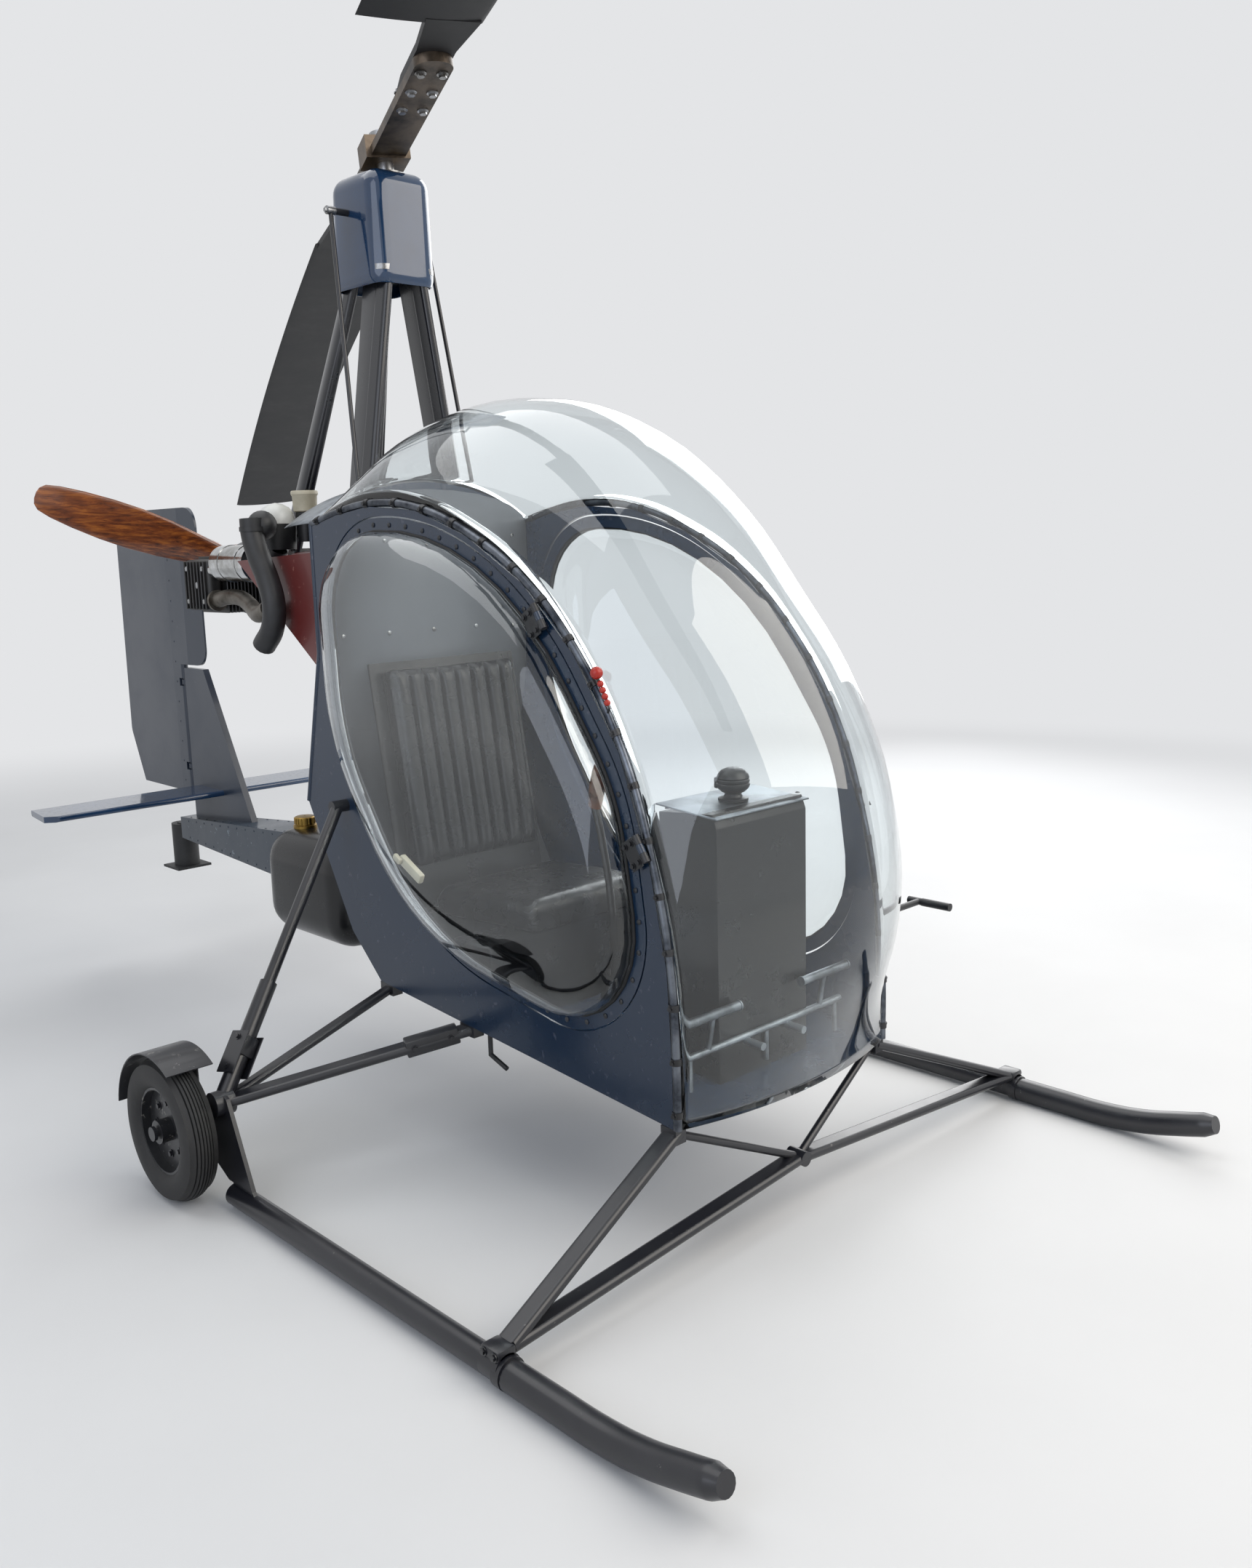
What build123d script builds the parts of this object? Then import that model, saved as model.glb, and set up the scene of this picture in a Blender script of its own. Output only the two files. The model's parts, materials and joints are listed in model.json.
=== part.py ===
# Single-seat light autogyro with an enclosed cabin, a pusher propeller and two landing skids.
# Millimetres. The nose points to -Y, port is +X and up is +Z. The origin is on the ground
# under the middle of the rotor hub.
import os
from math import cos, radians, sin

from build123d import *

os.makedirs("parts", exist_ok=True)

# Cabin: flat sides joined by a folded rear wall and a floor
cabin_half_width = 360
side_wall = 12
floor_wall = 12
rear_wall = 8
nose_y = -1362
nose_floor_z = 300
belly_rear_y = -300
belly_rear_z = 388
rear_kink_y = -180
rear_kink_z = 500
rear_bulge_y = 0
rear_bulge_z = 830
rear_top_y = -100
rear_shoulder_z = 1230
rear_corner_z = 1560
arch_rise = 104

# Canopy rail in side view, from the rear corner over the hump to the nose: y, z
rail_points = [
    (rear_top_y, rear_corner_z), (-220, 1585), (-365, 1602), (-560, 1586), (-750, 1524), (-940, 1420),
    (-1100, 1272), (-1230, 1075), (-1310, 850), (-1352, 640), (nose_y, 440), (nose_y, nose_floor_z),
]
rail_radius = 9
# Rise of the canopy's middle above each rail point, and the flats that make up its arch
canopy_rise = [arch_rise, 168, 215, 250, 268, 250, 225, 240, 245, 205, 110, 45]
canopy_flats = 10
canopy_wall = 4

# Doors: an egg-shaped frame with a blown window, hinged on a slanted line at the front
door_wall = 6
door_gap = 4
door_flange = 32
window_wall = 3
window_bulge = 95
hinge_upper_y = -1004
hinge_upper_z = 1346
hinge_lower_y = -1295
hinge_lower_z = 888
hinge_offset = 14
hinge_pin_radius = 5
hinge_length = 60
leaf_width = 44
hinge_seat = 0.8

# Seat and controls
seat_width = 440
seat_back_foot_y = -240
seat_back_foot_z = 640
seat_back_top_y = -150
seat_back_top_z = 1185
seat_pad = 60
cushion_front_y = -760
cushion_rear_y = -330
cushion_top_z = 640
cushion_drop = 25
cushion_thickness = 70
stick_y = -805
stick_top_z = 985
stick_radius = 11
grip_radius = 19
console_y = -1210
console_top_z = 920
console_half_width = 150
console_depth = 170
compass_radius = 38
compass_half = 26

# Landing gear
track_half = 873
skid_radius = 26
skid_wall = 3
skid_axis_z = 30
skid_rear_y = -430
clamp_y = -1405
shoe_radius = 30
shoe_start_y = -1425
shoe_bend_y = -1700
shoe_tip_y = -1960
shoe_tip_z = 88
joint_y = -1391
joint_z = 129
vee_radius = 9
leg_chord = 48
leg_depth = 22
rear_brace_y = -662
knee_y = -395
knee_z = 243
knee_radius = 30
knee_half = 24
oleo_top_y = -186
oleo_top_z = 840
oleo_radius = 15
oleo_body_radius = 21
wheel_y = -285
wheel_radius = 172.5
wheel_x = track_half + 75
tyre_width = 78
rim_radius = 104
axle_radius = 10
axle_clearance = 0.05
hub_radius = 28
wheel_gap = 6
guard_gap = 14
guard_wall = 3
bracket_wall = 10

# Tail
boom_front_y = -240
boom_rear_y = 1455
boom_front_half = 127
boom_rear_half = 42
boom_front_low = 424
boom_front_high = 672
boom_wall = 3
boom_rear_low = 468
boom_rear_high = 546
fin_wall = 22
fin_top_z = 1092
fin_root_front_y = 965
fin_top_front_y = 1250
rudder_hinge_y = 1412
rudder_hinge_gap = 8
rudder_trailing_y = 1885
rudder_balance_y = 1235
rudder_low_z = 640
rudder_high_z = 1650
rudder_heel_rise = 190
rudder_heel_run = 85
rudder_wall = 26
tail_edge = 6
tail_skin = 3
tail_rim = 14
rudder_spar_y = 1460
rudder_clearance = 12
stabiliser_span = 1250
stabiliser_chord = 190
stabiliser_y = 1260
stabiliser_z = 662
stabiliser_depth = 20
bumper_y = 1520
bumper_low_z = 345
bumper_high_z = 540
bumper_radius = 45
bumper_plate_width = 130
bumper_plate_length = 120

# Fuel tank, beside the root of the tail boom
tank_low = (-345, -110, 405)
tank_high = (-130, 330, 705)
tank_round = 60
tank_wall = 4
cap_radius = 32
cap_height = 34

# Engine: flat twin with finned cylinders
engine_y = 640
engine_z = 1400
case_half_width = 100
case_length = 310
case_height = 200
cylinder_radius = 62
fin_radius = 86
fin_count = 8
fin_pitch = 20
fin_thickness = 8
head_length = 60
prop_y = 925
prop_z = 1450
prop_radius = 690
prop_angle = 19
prop_root_chord = 90
prop_mid_chord = 135
prop_tip_chord = 70
prop_hub_radius = 70
prop_hub_depth = 62
exhaust_radius = 21
stack_radius = 33
stack_wall = 3
intake_radius = 52
intake_length = 190
mount_radius = 12

# Mast
mast_foot_x = 150
mast_front_foot_y = -45
mast_front_foot_z = 1600
mast_rear_foot_y = 380
mast_top_x = 52
mast_front_top_y = -50
mast_rear_top_y = 105
mast_top_z = 2215
mast_chord = 58
mast_depth = 26
mast_wall = 3
head_plate_wall = 14
fairing_width = 195
fairing_length = 240
fairing_height = 330
fairing_y = 30
fairing_rise = 95
fairing_z = mast_top_z + fairing_rise
fairing_wall = 3
fairing_round = 38
control_rod_radius = 6
control_foot_x = 196
control_foot_z = 1540

# Rotor: two blades on a flat bar, tilted back at rest, each drooping under its own weight
hub_rise = 301
hub_z = mast_top_z + hub_rise
hub_tilt = 7.24
rotor_azimuth = 21.8
rotor_radius = 3500
bar_half_length = 590
bar_width = 92
bar_thickness = 22
blade_chord = 280
blade_thickness = 30
blade_root = 430
blade_cut = 730
spar_share = 0.25
# Blade section: share of the chord behind the leading edge, half thickness as a share of the full one
blade_shape = [(0.04, 0.28), (0.15, 0.45), (0.32, 0.5), (0.65, 0.3)]
# Each blade slopes down from the end of the bar, and sags further along its span
droop_slope = 0.0497
droop_curve = 0.0297e-3
spindle_radius = 22
spindle_clearance = 0.05
bearing_radius = 44

# Small parts
pitot_radius = 8
vent_radius = 6


def save(solid, name):
    export_step(solid, f"parts/{name}.step")


def rod(start, end, radius):
    """Round bar from one point to another."""
    line = Vector(*end) - Vector(*start)
    plane = Plane(origin=start, z_dir=line)
    return extrude(plane * Circle(radius), line.length)


def streamlined(start, end, chord, depth, across=(0, 1, 0)):
    """Bar with flat sides and round edges, its long side turned towards a given direction."""
    line = Vector(*end) - Vector(*start)
    side = Vector(*across)
    side = side - line * (side.dot(line) / line.length ** 2)
    plane = Plane(origin=start, x_dir=side, z_dir=line)
    return extrude(plane * SlotOverall(chord, depth), line.length)


def pipe(points, radius):
    """Round bar along straight runs that meet in mitres."""
    path = Polyline(*points)
    start = Plane(origin=path @ 0, z_dir=path % 0)
    return sweep(start * Circle(radius), path, transition=Transition.RIGHT)


def side_plate(points, inner_x, outer_x):
    """Flat plate drawn in side view (y, z) between two places across the craft."""
    face = make_face(Polyline(*[(0, y, z) for y, z in points], close=True))
    return extrude(face.moved(Location((inner_x, 0, 0))), outer_x - inner_x, dir=(1, 0, 0))


def mirrored(solid):
    return mirror(solid, about=Plane.YZ)


def belly_z(y):
    share = (y - nose_y) / (belly_rear_y - nose_y)
    return nose_floor_z + share * (belly_rear_z - nose_floor_z)


def at_hinge(along, out):
    """A point by the starboard door hinge line: distance from its lower pin, and offset outwards."""
    run = Vector(0, hinge_upper_y - hinge_lower_y, hinge_upper_z - hinge_lower_z)
    foot = Vector(-cabin_half_width - out, hinge_lower_y, hinge_lower_z)
    return foot + run.normalized() * along


# Cabin sides
rear_edge = [
    (belly_rear_y, belly_rear_z), (rear_kink_y, rear_kink_z), (rear_bulge_y, rear_bulge_z),
    (rear_top_y, rear_shoulder_z), (rear_top_y, rear_corner_z),
]
side_outline = rear_edge + rail_points[1:]

# Door window outline in side view, egg-shaped: each corner's y and z and the radius that rounds it
window_corners = [
    (-180, 1530, 205), (-197, 1008, 530), (-500, 556, 640),
    (-1296, 432, 228), (-1219, 981, 480), (-828, 1544, 800),
]
window_line = FilletPolyline(
    *[(0, y, z) for y, z, radius in window_corners],
    radius=[radius for y, z, radius in window_corners], close=True)
window_face = make_face(window_line)


def egg(grow):
    """The window's outline, grown outwards by a margin."""
    return offset(window_face, grow)


def egg_plate(grow, inner_x, outer_x):
    return extrude(egg(grow).moved(Location((inner_x, 0, 0))), outer_x - inner_x, dir=(1, 0, 0))


# Canopy rails, tubes that run along the top and front edges of the sides
rail_x = cabin_half_width - side_wall / 2
rail_path = [(-rail_x, y, z) for y, z in rail_points]


def rail(radius):
    return pipe(rail_path, radius)


canopy_rail_stbd = rail(rail_radius)
rail_room = rail(rail_radius + 0.3)
rail_room += mirrored(rail_room)
save(canopy_rail_stbd, "canopy_rail_stbd")
save(mirrored(canopy_rail_stbd), "canopy_rail_port")

door_opening = egg_plate(door_flange + door_gap, -cabin_half_width - 20, -cabin_half_width + side_wall + 20)
side_blank = side_plate(side_outline, -cabin_half_width, -cabin_half_width + side_wall)
side_panel_stbd = side_blank - door_opening - rail_room
save(side_panel_stbd, "side_panel_stbd")
save(mirrored(side_panel_stbd), "side_panel_port")



def arch(half, low, apex):
    """Points along an arc from one side over the middle to the other, as (across, height)."""
    curve = ThreePointArc((-half, low), (0, apex), (half, low))
    spots = [curve @ (step / canopy_flats) for step in range(canopy_flats + 1)]
    return [(spot.X, spot.Y) for spot in spots]


# Floor and folded rear wall, fitted between the sides
inner_half = cabin_half_width - side_wall
canopy_base = rail_radius + 0.4
nose_rise = canopy_rise[-1] - canopy_wall - 0.3
floor_section = [
    (nose_y, nose_floor_z), (belly_rear_y, belly_rear_z),
    (belly_rear_y, belly_rear_z + floor_wall), (nose_y, nose_floor_z + floor_wall),
]
floor_lip_face = make_face([
    Line((-inner_half, nose_y, nose_floor_z), (inner_half, nose_y, nose_floor_z)),
    ThreePointArc((inner_half, nose_y, nose_floor_z), (0, nose_y - nose_rise, nose_floor_z),
                  (-inner_half, nose_y, nose_floor_z)),
])
floor_lip = extrude(floor_lip_face, floor_wall, dir=(0, 0, 1))
floor_pan = side_plate(floor_section, -inner_half, inner_half) + floor_lip - rail_room
save(floor_pan, "floor_pan")

wall_base_z = rear_corner_z + canopy_base - 0.3
wall_inner = [
    (rear_top_y - rear_wall, rear_shoulder_z), (rear_bulge_y - rear_wall, rear_bulge_z),
    (rear_kink_y - rear_wall, rear_kink_z), (belly_rear_y, belly_rear_z + floor_wall),
]
folded_wall = side_plate(rear_edge[1:4] + wall_inner, -inner_half, inner_half)
arch_top = [(x, rear_top_y, wall_base_z + rise) for x, rise in arch(inner_half, 0, arch_rise - canopy_wall)]
arch_face = make_face(Polyline(
    (-inner_half, rear_top_y, rear_shoulder_z), *arch_top,
    (inner_half, rear_top_y, rear_shoulder_z), close=True))
firewall = folded_wall + extrude(arch_face, rear_wall, dir=(0, -1, 0)) - rail_room
save(firewall, "firewall")
cabin_block = side_plate(side_outline, -cabin_half_width, cabin_half_width)

# Canopy: a clear shell with an arched section at each station along the rails
canopy_half = rail_x - 2


def rail_frame(index):
    """Section plane across the craft at a rail point: x across, y outwards from the cabin."""
    here = Vector(0, *rail_points[index])
    if index == 0:
        outwards = Vector(0, 0, 1)
    elif index == len(rail_points) - 1:
        outwards = Vector(0, -1, 0)
    else:
        run = Vector(0, *rail_points[index + 1]) - Vector(0, *rail_points[index - 1])
        outwards = Vector(0, run.Z, -run.Y).normalized()
    return Plane(origin=here, x_dir=(1, 0, 0), z_dir=Vector(1, 0, 0).cross(outwards))


def crescent(index, rise):
    """Arched section of the shell, as thick as the wall, in flats."""
    apex = canopy_base + rise
    outer = arch(canopy_half, canopy_base, apex)
    inner = arch(canopy_half - canopy_wall, canopy_base, apex - canopy_wall)
    return rail_frame(index) * make_face(Polyline(*outer, *inner[::-1], close=True))


canopy = loft([crescent(index, rise) for index, rise in enumerate(canopy_rise)], ruled=True) - rail_room
save(canopy, "canopy")

# Doors: frame, blown window and hinge. The window's rim lies behind the frame.
# Each section of the blown window: share of the bulge, shrink of the outline
window_sections = [(0, 0), (0.45, 24), (0.8, 80), (1, 175)]
window_flats = 28
frame_outer_x = -cabin_half_width
frame_inner_x = frame_outer_x + door_wall


window_edge = window_face.face().outer_wire()
window_spots = [window_edge @ (step / window_flats) for step in range(window_flats)]
window_polygon = make_face(Polyline(*window_spots, close=True))


def flat_sided(shrink, x):
    """The window's outline in short flats, moved inwards, at a place across the craft."""
    return offset(window_polygon, -shrink, kind=Kind.INTERSECTION).moved(Location((x, 0, 0)))


def blown(thinner):
    sections = [flat_sided(thinner, frame_inner_x + window_wall)]
    for share, shrink in window_sections:
        sections.append(flat_sided(shrink + thinner, frame_outer_x - share * window_bulge + thinner))
    return loft(sections, ruled=True)


window_rim = egg_plate(18, frame_inner_x, frame_inner_x + window_wall) - egg_plate(
    -window_wall, frame_inner_x - 1, frame_inner_x + window_wall + 1)
door_window_stbd = blown(0) - blown(window_wall) + window_rim
save(door_window_stbd, "door_window_stbd")
save(mirrored(door_window_stbd), "door_window_port")

hinge_run = Vector(0, hinge_upper_y - hinge_lower_y, hinge_upper_z - hinge_lower_z)
knuckle_radius = hinge_pin_radius + 3
knuckle_clearance = 0.05
frame = egg_plate(door_flange, frame_outer_x, frame_inner_x)
frame -= egg_plate(0.4, frame_outer_x - 1, frame_inner_x + 1)
hinge_fittings = []
for along in (0, hinge_run.length):
    low = at_hinge(along - hinge_length / 2, hinge_offset)
    high = at_hinge(along + hinge_length / 2, hinge_offset)
    third = (high - low) / 3
    middle_low = low + third + third.normalized() * 0.5
    middle_high = high - third - third.normalized() * 0.5
    aft = Vector(0, hinge_run.Z, -hinge_run.Y).normalized()
    leaf_middle = (middle_low + middle_high) / 2 + aft * (leaf_width / 2)
    leaf_middle += Vector(hinge_offset / 2 + 0.5, 0, 0)
    leaf_plane = Plane(origin=leaf_middle, x_dir=aft, z_dir=hinge_run)
    leaf = extrude(leaf_plane * Rectangle(leaf_width, hinge_offset + 1), third.length / 2 - 0.5, both=True)
    leaf = leaf - side_panel_stbd.moved(Location((-hinge_seat, 0, 0))) - rail(rail_radius + hinge_seat)
    knuckle = rod(middle_low, middle_high, knuckle_radius) + leaf
    knuckle -= rod(low, high, hinge_pin_radius + knuckle_clearance)
    frame += knuckle
    fixed = rod(low, high, hinge_pin_radius)
    fixed += rod(low, low + third, knuckle_radius) + rod(high - third, high, knuckle_radius)
    hinge_fittings.append(fixed)
save(frame, "door_stbd")
save(mirrored(frame), "door_port")
save(Compound(hinge_fittings + [mirrored(fixed) for fixed in hinge_fittings]), "hinge_pins")

# Seat: a moulded pan and back plate that carry the pads
cushion_foot_z = cushion_top_z - cushion_thickness
pan_wall = 8
seat_half = seat_width / 2
pad_gap = 0.3
back_run = Vector(0, seat_back_top_y - seat_back_foot_y, seat_back_top_z - seat_back_foot_z).normalized()
back_normal = Vector(0, -back_run.Z, back_run.Y)


def seat_slab(points, half):
    return side_plate(points, -half, half)


def lean(foot, along, out):
    """Point in side view by the seat back: distance up it, and offset forwards."""
    spot = Vector(0, *foot) + back_run * along + back_normal * out
    return (spot.Y, spot.Z)


back_foot = (seat_back_foot_y, seat_back_foot_z)
back_length = (Vector(0, seat_back_top_y, seat_back_top_z) - Vector(0, *back_foot)).length
seat_back = seat_slab([
    lean(back_foot, 0, 0), lean(back_foot, back_length, 0), lean(back_foot, back_length, seat_pad),
    lean(back_foot, 0, seat_pad),
], seat_half)
seat_back = fillet(seat_back.edges().filter_by(Axis.X), 18)
save(seat_back, "seat_back")

cushion = seat_slab([
    (cushion_front_y, cushion_foot_z), (cushion_rear_y, cushion_foot_z - cushion_drop),
    (cushion_rear_y, cushion_top_z - cushion_drop), (cushion_front_y, cushion_top_z),
], seat_half)
cushion = fillet(cushion.edges().filter_by(Axis.X), 20)
save(cushion, "seat_cushion")

shell_drop = 110
shell_back_foot = lean(back_foot, -shell_drop, -pad_gap)
shell_back_top = lean(back_foot, back_length + 10, -pad_gap)
pan_rear_y = shell_back_foot[0] + pan_wall


def pan_z(y):
    share = (y - cushion_front_y) / (cushion_rear_y - cushion_front_y)
    return cushion_foot_z - share * cushion_drop - pad_gap


seat_shell = seat_slab([
    (cushion_front_y, pan_z(cushion_front_y)), (pan_rear_y, pan_z(pan_rear_y)),
    (pan_rear_y, pan_z(pan_rear_y) - pan_wall), (cushion_front_y, pan_z(cushion_front_y) - pan_wall),
], inner_half - 0.3)
seat_shell += seat_slab([
    shell_back_foot, shell_back_top, lean(back_foot, back_length + 10, -pan_wall),
    lean(back_foot, -shell_drop, -pan_wall),
], seat_half + 20)
front_wall_y = cushion_front_y + pan_wall
seat_shell += seat_slab([
    (cushion_front_y, pan_z(cushion_front_y)), (front_wall_y, pan_z(front_wall_y)),
    (front_wall_y, belly_z(front_wall_y) + floor_wall),
    (cushion_front_y, belly_z(cushion_front_y) + floor_wall),
], inner_half - 0.3)
save(seat_shell, "seat_shell")

# Controls: stick, instrument pillar with its compass, and the foot bar
stick_foot_z = belly_z(stick_y) + floor_wall
stick = rod((0, stick_y, stick_foot_z), (0, stick_y, stick_top_z - 160), stick_radius)
stick += rod((0, stick_y, stick_top_z - 160), (0, stick_y + 12, stick_top_z), grip_radius)
stick += rod((0, stick_y, stick_foot_z), (0, stick_y, stick_foot_z + 18), 34) - floor_pan
save(stick - floor_pan, "control_stick")

console_rear_y = console_y + console_depth / 2
console_front_y = console_y - console_depth / 2
console_foot_z = belly_z(console_y) + floor_wall
console_foot_y = console_rear_y - 60
console = side_plate([
    (console_front_y, belly_z(console_front_y) + floor_wall),
    (console_foot_y, belly_z(console_foot_y) + floor_wall),
    (console_rear_y, console_top_z - 40), (console_rear_y, console_top_z - 12),
    (console_front_y + 12, console_top_z), (console_front_y, console_top_z - 30),
], -console_half_width, console_half_width)
save(console, "console")
compass = rod((0, console_y, console_top_z - 12), (0, console_y, console_top_z + 6), compass_radius + 6)
compass_z = console_top_z + compass_radius
compass += rod(
    (0, console_y - compass_half, compass_z), (0, console_y + compass_half, compass_z), compass_radius)
save(compass - console, "compass")

pedal_y = console_front_y - 25
pedal_z = belly_z(pedal_y) + floor_wall + 75
pedal_radius = 11
pedal_high_z = pedal_z + 85
bar_half = 270
foot_x = 200
foot_half = 50
pedals = rod((-bar_half, pedal_y, pedal_z), (bar_half, pedal_y, pedal_z), pedal_radius)
for x in (-foot_x, foot_x):
    pedals += rod((x, pedal_y, pedal_z), (x, pedal_y, pedal_high_z), pedal_radius)
    pedals += rod(
        (x - foot_half, pedal_y, pedal_high_z), (x + foot_half, pedal_y, pedal_high_z), pedal_radius + 3)
pedals += rod((0, pedal_y, pedal_z), (0, pedal_y, console_foot_z - 10), 16)
save(pedals - floor_pan, "pedals")

# Skids: straight tubes with a bent wear shoe and a strut clamp each
clamp_radius = 30
clamp_half = 26


def skid():
    x = -track_half
    straight = rod((x, skid_rear_y, skid_axis_z), (x, shoe_start_y, skid_axis_z), skid_radius)
    shoe = pipe([(x, shoe_start_y, skid_axis_z), (x, shoe_bend_y, skid_axis_z), (x, shoe_tip_y, shoe_tip_z)],
                shoe_radius)
    bore = rod((x, skid_rear_y + 1, skid_axis_z), (x, shoe_start_y, skid_axis_z), skid_radius - skid_wall)
    clamp_z = skid_axis_z + 8
    clamp = rod((x, clamp_y - clamp_half, clamp_z), (x, clamp_y + clamp_half, clamp_z), clamp_radius)
    clamp += Pos(x, clamp_y, skid_axis_z + 30) * Box(44, 2 * clamp_half, 36)
    return straight + shoe + clamp - bore


skid_stbd = skid()
save(skid_stbd, "skid_stbd")
save(mirrored(skid_stbd), "skid_port")

# Front legs: two wide struts a side and a thin brace to the middle joint below the nose
corner_x = cabin_half_width - 15
corner = (-corner_x, nose_y + 22, nose_floor_z - 16)
clamp_top = (-track_half + 12, clamp_y, skid_axis_z + 34)
joint_block = rod((0, joint_y - 24, joint_z), (0, joint_y + 24, joint_z), 17)
save(joint_block, "brace_joint")
corner_lug = Pos(corner) * Box(30, 44, 34) - floor_pan - side_blank
outer_leg = streamlined(corner, clamp_top, leg_chord, leg_depth)
inner_leg = streamlined((0, joint_y, joint_z), clamp_top, leg_chord, leg_depth)
brace = rod(corner, (0, joint_y, joint_z), vee_radius)
front_legs = outer_leg + corner_lug + brace - skid_stbd - joint_block
front_legs += inner_leg - skid_stbd - joint_block
front_legs = front_legs - cabin_block - rail_room
save(front_legs, "front_legs_stbd")
save(mirrored(front_legs), "front_legs_port")

# Rear legs: two braces to the belly, a shock strut to the cabin side, all meeting at the knee
knee = (-track_half, knee_y, knee_z)
knee_ball = rod(
    (-track_half - knee_half, knee_y, knee_z), (-track_half + knee_half, knee_y, knee_z), knee_radius)
skid_top_z = skid_axis_z + skid_radius
bracket_outline = [
    (-545, 34), (-520, 64), (knee_y - 34, knee_z + 18), (knee_y + 6, knee_z + 30),
    (wheel_y + 30, wheel_radius + 30), (wheel_y + 28, wheel_radius - 34), (skid_rear_y + 18, skid_top_z + 4),
    (skid_rear_y - 2, skid_top_z + 4), (skid_rear_y - 2, skid_axis_z + 4),
]
skid_room = rod((-track_half, skid_rear_y + 1, skid_axis_z), (-track_half, clamp_y, skid_axis_z), skid_radius)
bracket = side_plate(bracket_outline, -track_half - bracket_wall / 2, -track_half + bracket_wall / 2)
hub_inner_x = wheel_x - tyre_width / 2 + 4
hub_outer_x = wheel_x + tyre_width / 2 - 4
axle = rod((-track_half, wheel_y, wheel_radius), (-hub_outer_x - 14, wheel_y, wheel_radius), axle_radius)
axle += rod((-track_half, wheel_y, wheel_radius), (-hub_inner_x + wheel_gap, wheel_y, wheel_radius), 20)
axle += rod((-hub_outer_x - wheel_gap, wheel_y, wheel_radius), (-hub_outer_x - 14, wheel_y, wheel_radius), 17)
knuckle = bracket + axle + knee_ball - skid_room
save(knuckle, "wheel_knuckle_stbd")
save(mirrored(knuckle), "wheel_knuckle_port")

rear_corner = (-corner_x, belly_rear_y - 24, belly_z(belly_rear_y - 24) - 14)
mid_corner = (-corner_x, rear_brace_y, belly_z(rear_brace_y) - 14)
rear_legs = streamlined(rear_corner, knee, 34, 20) + streamlined(mid_corner, knee, leg_chord, leg_depth)
for spot in (rear_corner, mid_corner):
    rear_legs += Pos(*spot) * Box(30, 54, 30)
rear_legs = rear_legs - cabin_block - knuckle
save(rear_legs, "rear_legs_stbd")
save(mirrored(rear_legs), "rear_legs_port")

oleo_top = (-cabin_half_width - 26, oleo_top_y, oleo_top_z)
oleo_split = Vector(*oleo_top) + (Vector(*knee) - Vector(*oleo_top)) * 0.62
oleo = rod(oleo_top, knee, oleo_radius) + rod(oleo_split, knee, oleo_body_radius)
oleo += rod((-cabin_half_width, oleo_top_y, oleo_top_z), (-cabin_half_width - 44, oleo_top_y, oleo_top_z), 16)
oleo = oleo - knuckle - rear_legs - cabin_block
save(oleo, "shock_strut_stbd")
save(mirrored(oleo), "shock_strut_port")

# Wheels
def wheel_ring(points):
    """Solid of revolution about the wheel axle from a profile of (across, radius)."""
    face = make_face(Polyline(*[(x, 0, r) for x, r in points], close=True))
    return revolve(face, Axis.X).moved(Location((-wheel_x, wheel_y, wheel_radius)))


half_tyre = tyre_width / 2
bead = 27
tread_round = 16
wall_radius = wheel_radius - 30
tyre = wheel_ring([
    (-bead, rim_radius + 0.3), (-half_tyre, wall_radius), (-half_tyre + tread_round, wheel_radius),
    (half_tyre - tread_round, wheel_radius), (half_tyre, wall_radius), (bead, rim_radius + 0.3),
])
save(tyre, "tyre_stbd")
save(mirrored(tyre), "tyre_port")
hub_half = (hub_outer_x - hub_inner_x) / 2
bore_radius = axle_radius + axle_clearance
disc_half = 5
rim_wall = 6
rim = wheel_ring([
    (-hub_half, bore_radius), (-hub_half, hub_radius),
    (-disc_half, hub_radius), (-disc_half, rim_radius - rim_wall),
    (-bead, rim_radius - rim_wall), (-bead, rim_radius), (bead, rim_radius), (bead, rim_radius - rim_wall),
    (disc_half, rim_radius - rim_wall), (disc_half, hub_radius),
    (hub_half, hub_radius), (hub_half, bore_radius),
])
save(rim, "rim_stbd")
save(mirrored(rim), "rim_port")

# Mudguards: an arched sheet over the rear of each wheel on a stay from the knuckle
guard_inner = wheel_radius + guard_gap
guard_start = 60
guard_sweep = 112
guard_inboard = wheel_x - track_half - bracket_wall / 2
guard_band = make_face(Polyline(*[
    (-wheel_x + x, wheel_y, wheel_radius + r) for x, r in (
        (-tyre_width / 2 - 4, guard_inner), (guard_inboard, guard_inner),
        (guard_inboard, guard_inner + guard_wall), (-tyre_width / 2 - 4, guard_inner + guard_wall))
], close=True))
axle_line = Axis((-wheel_x, wheel_y, wheel_radius), (-1, 0, 0))
guard = revolve(guard_band.rotate(axle_line, guard_start - 90), axle_line, guard_sweep)
stay_x = -track_half - bracket_wall / 2
stay = side_plate([
    (wheel_y - 16, wheel_radius + 24), (wheel_y + 26, wheel_radius + 24),
    (wheel_y + 26, wheel_radius + guard_inner + 1), (wheel_y - 16, wheel_radius + guard_inner + 1),
], stay_x - 4, stay_x)
mudguard = guard + stay - knuckle
save(Compound([mudguard, mirrored(mudguard)]), "mudguards")

# Tail boom: a tapered box from the rear wall to the tail
def boom_shape(wall):
    """Tapered box, closed at the tail, with its faces moved in by a wall."""
    rear_y = boom_rear_y - wall
    side = side_plate([
        (boom_front_y, boom_front_low + wall), (boom_front_y, boom_front_high - wall),
        (rear_y, boom_rear_high - wall), (rear_y, boom_rear_low + wall),
    ], -boom_front_half, boom_front_half)
    plan = make_face(Polyline(
        (-boom_front_half + wall, boom_front_y, 0), (boom_front_half - wall, boom_front_y, 0),
        (boom_rear_half - wall, rear_y, 0), (-boom_rear_half + wall, rear_y, 0), close=True))
    return side & extrude(plan, 2 * boom_front_high, dir=(0, 0, 1))


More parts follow.
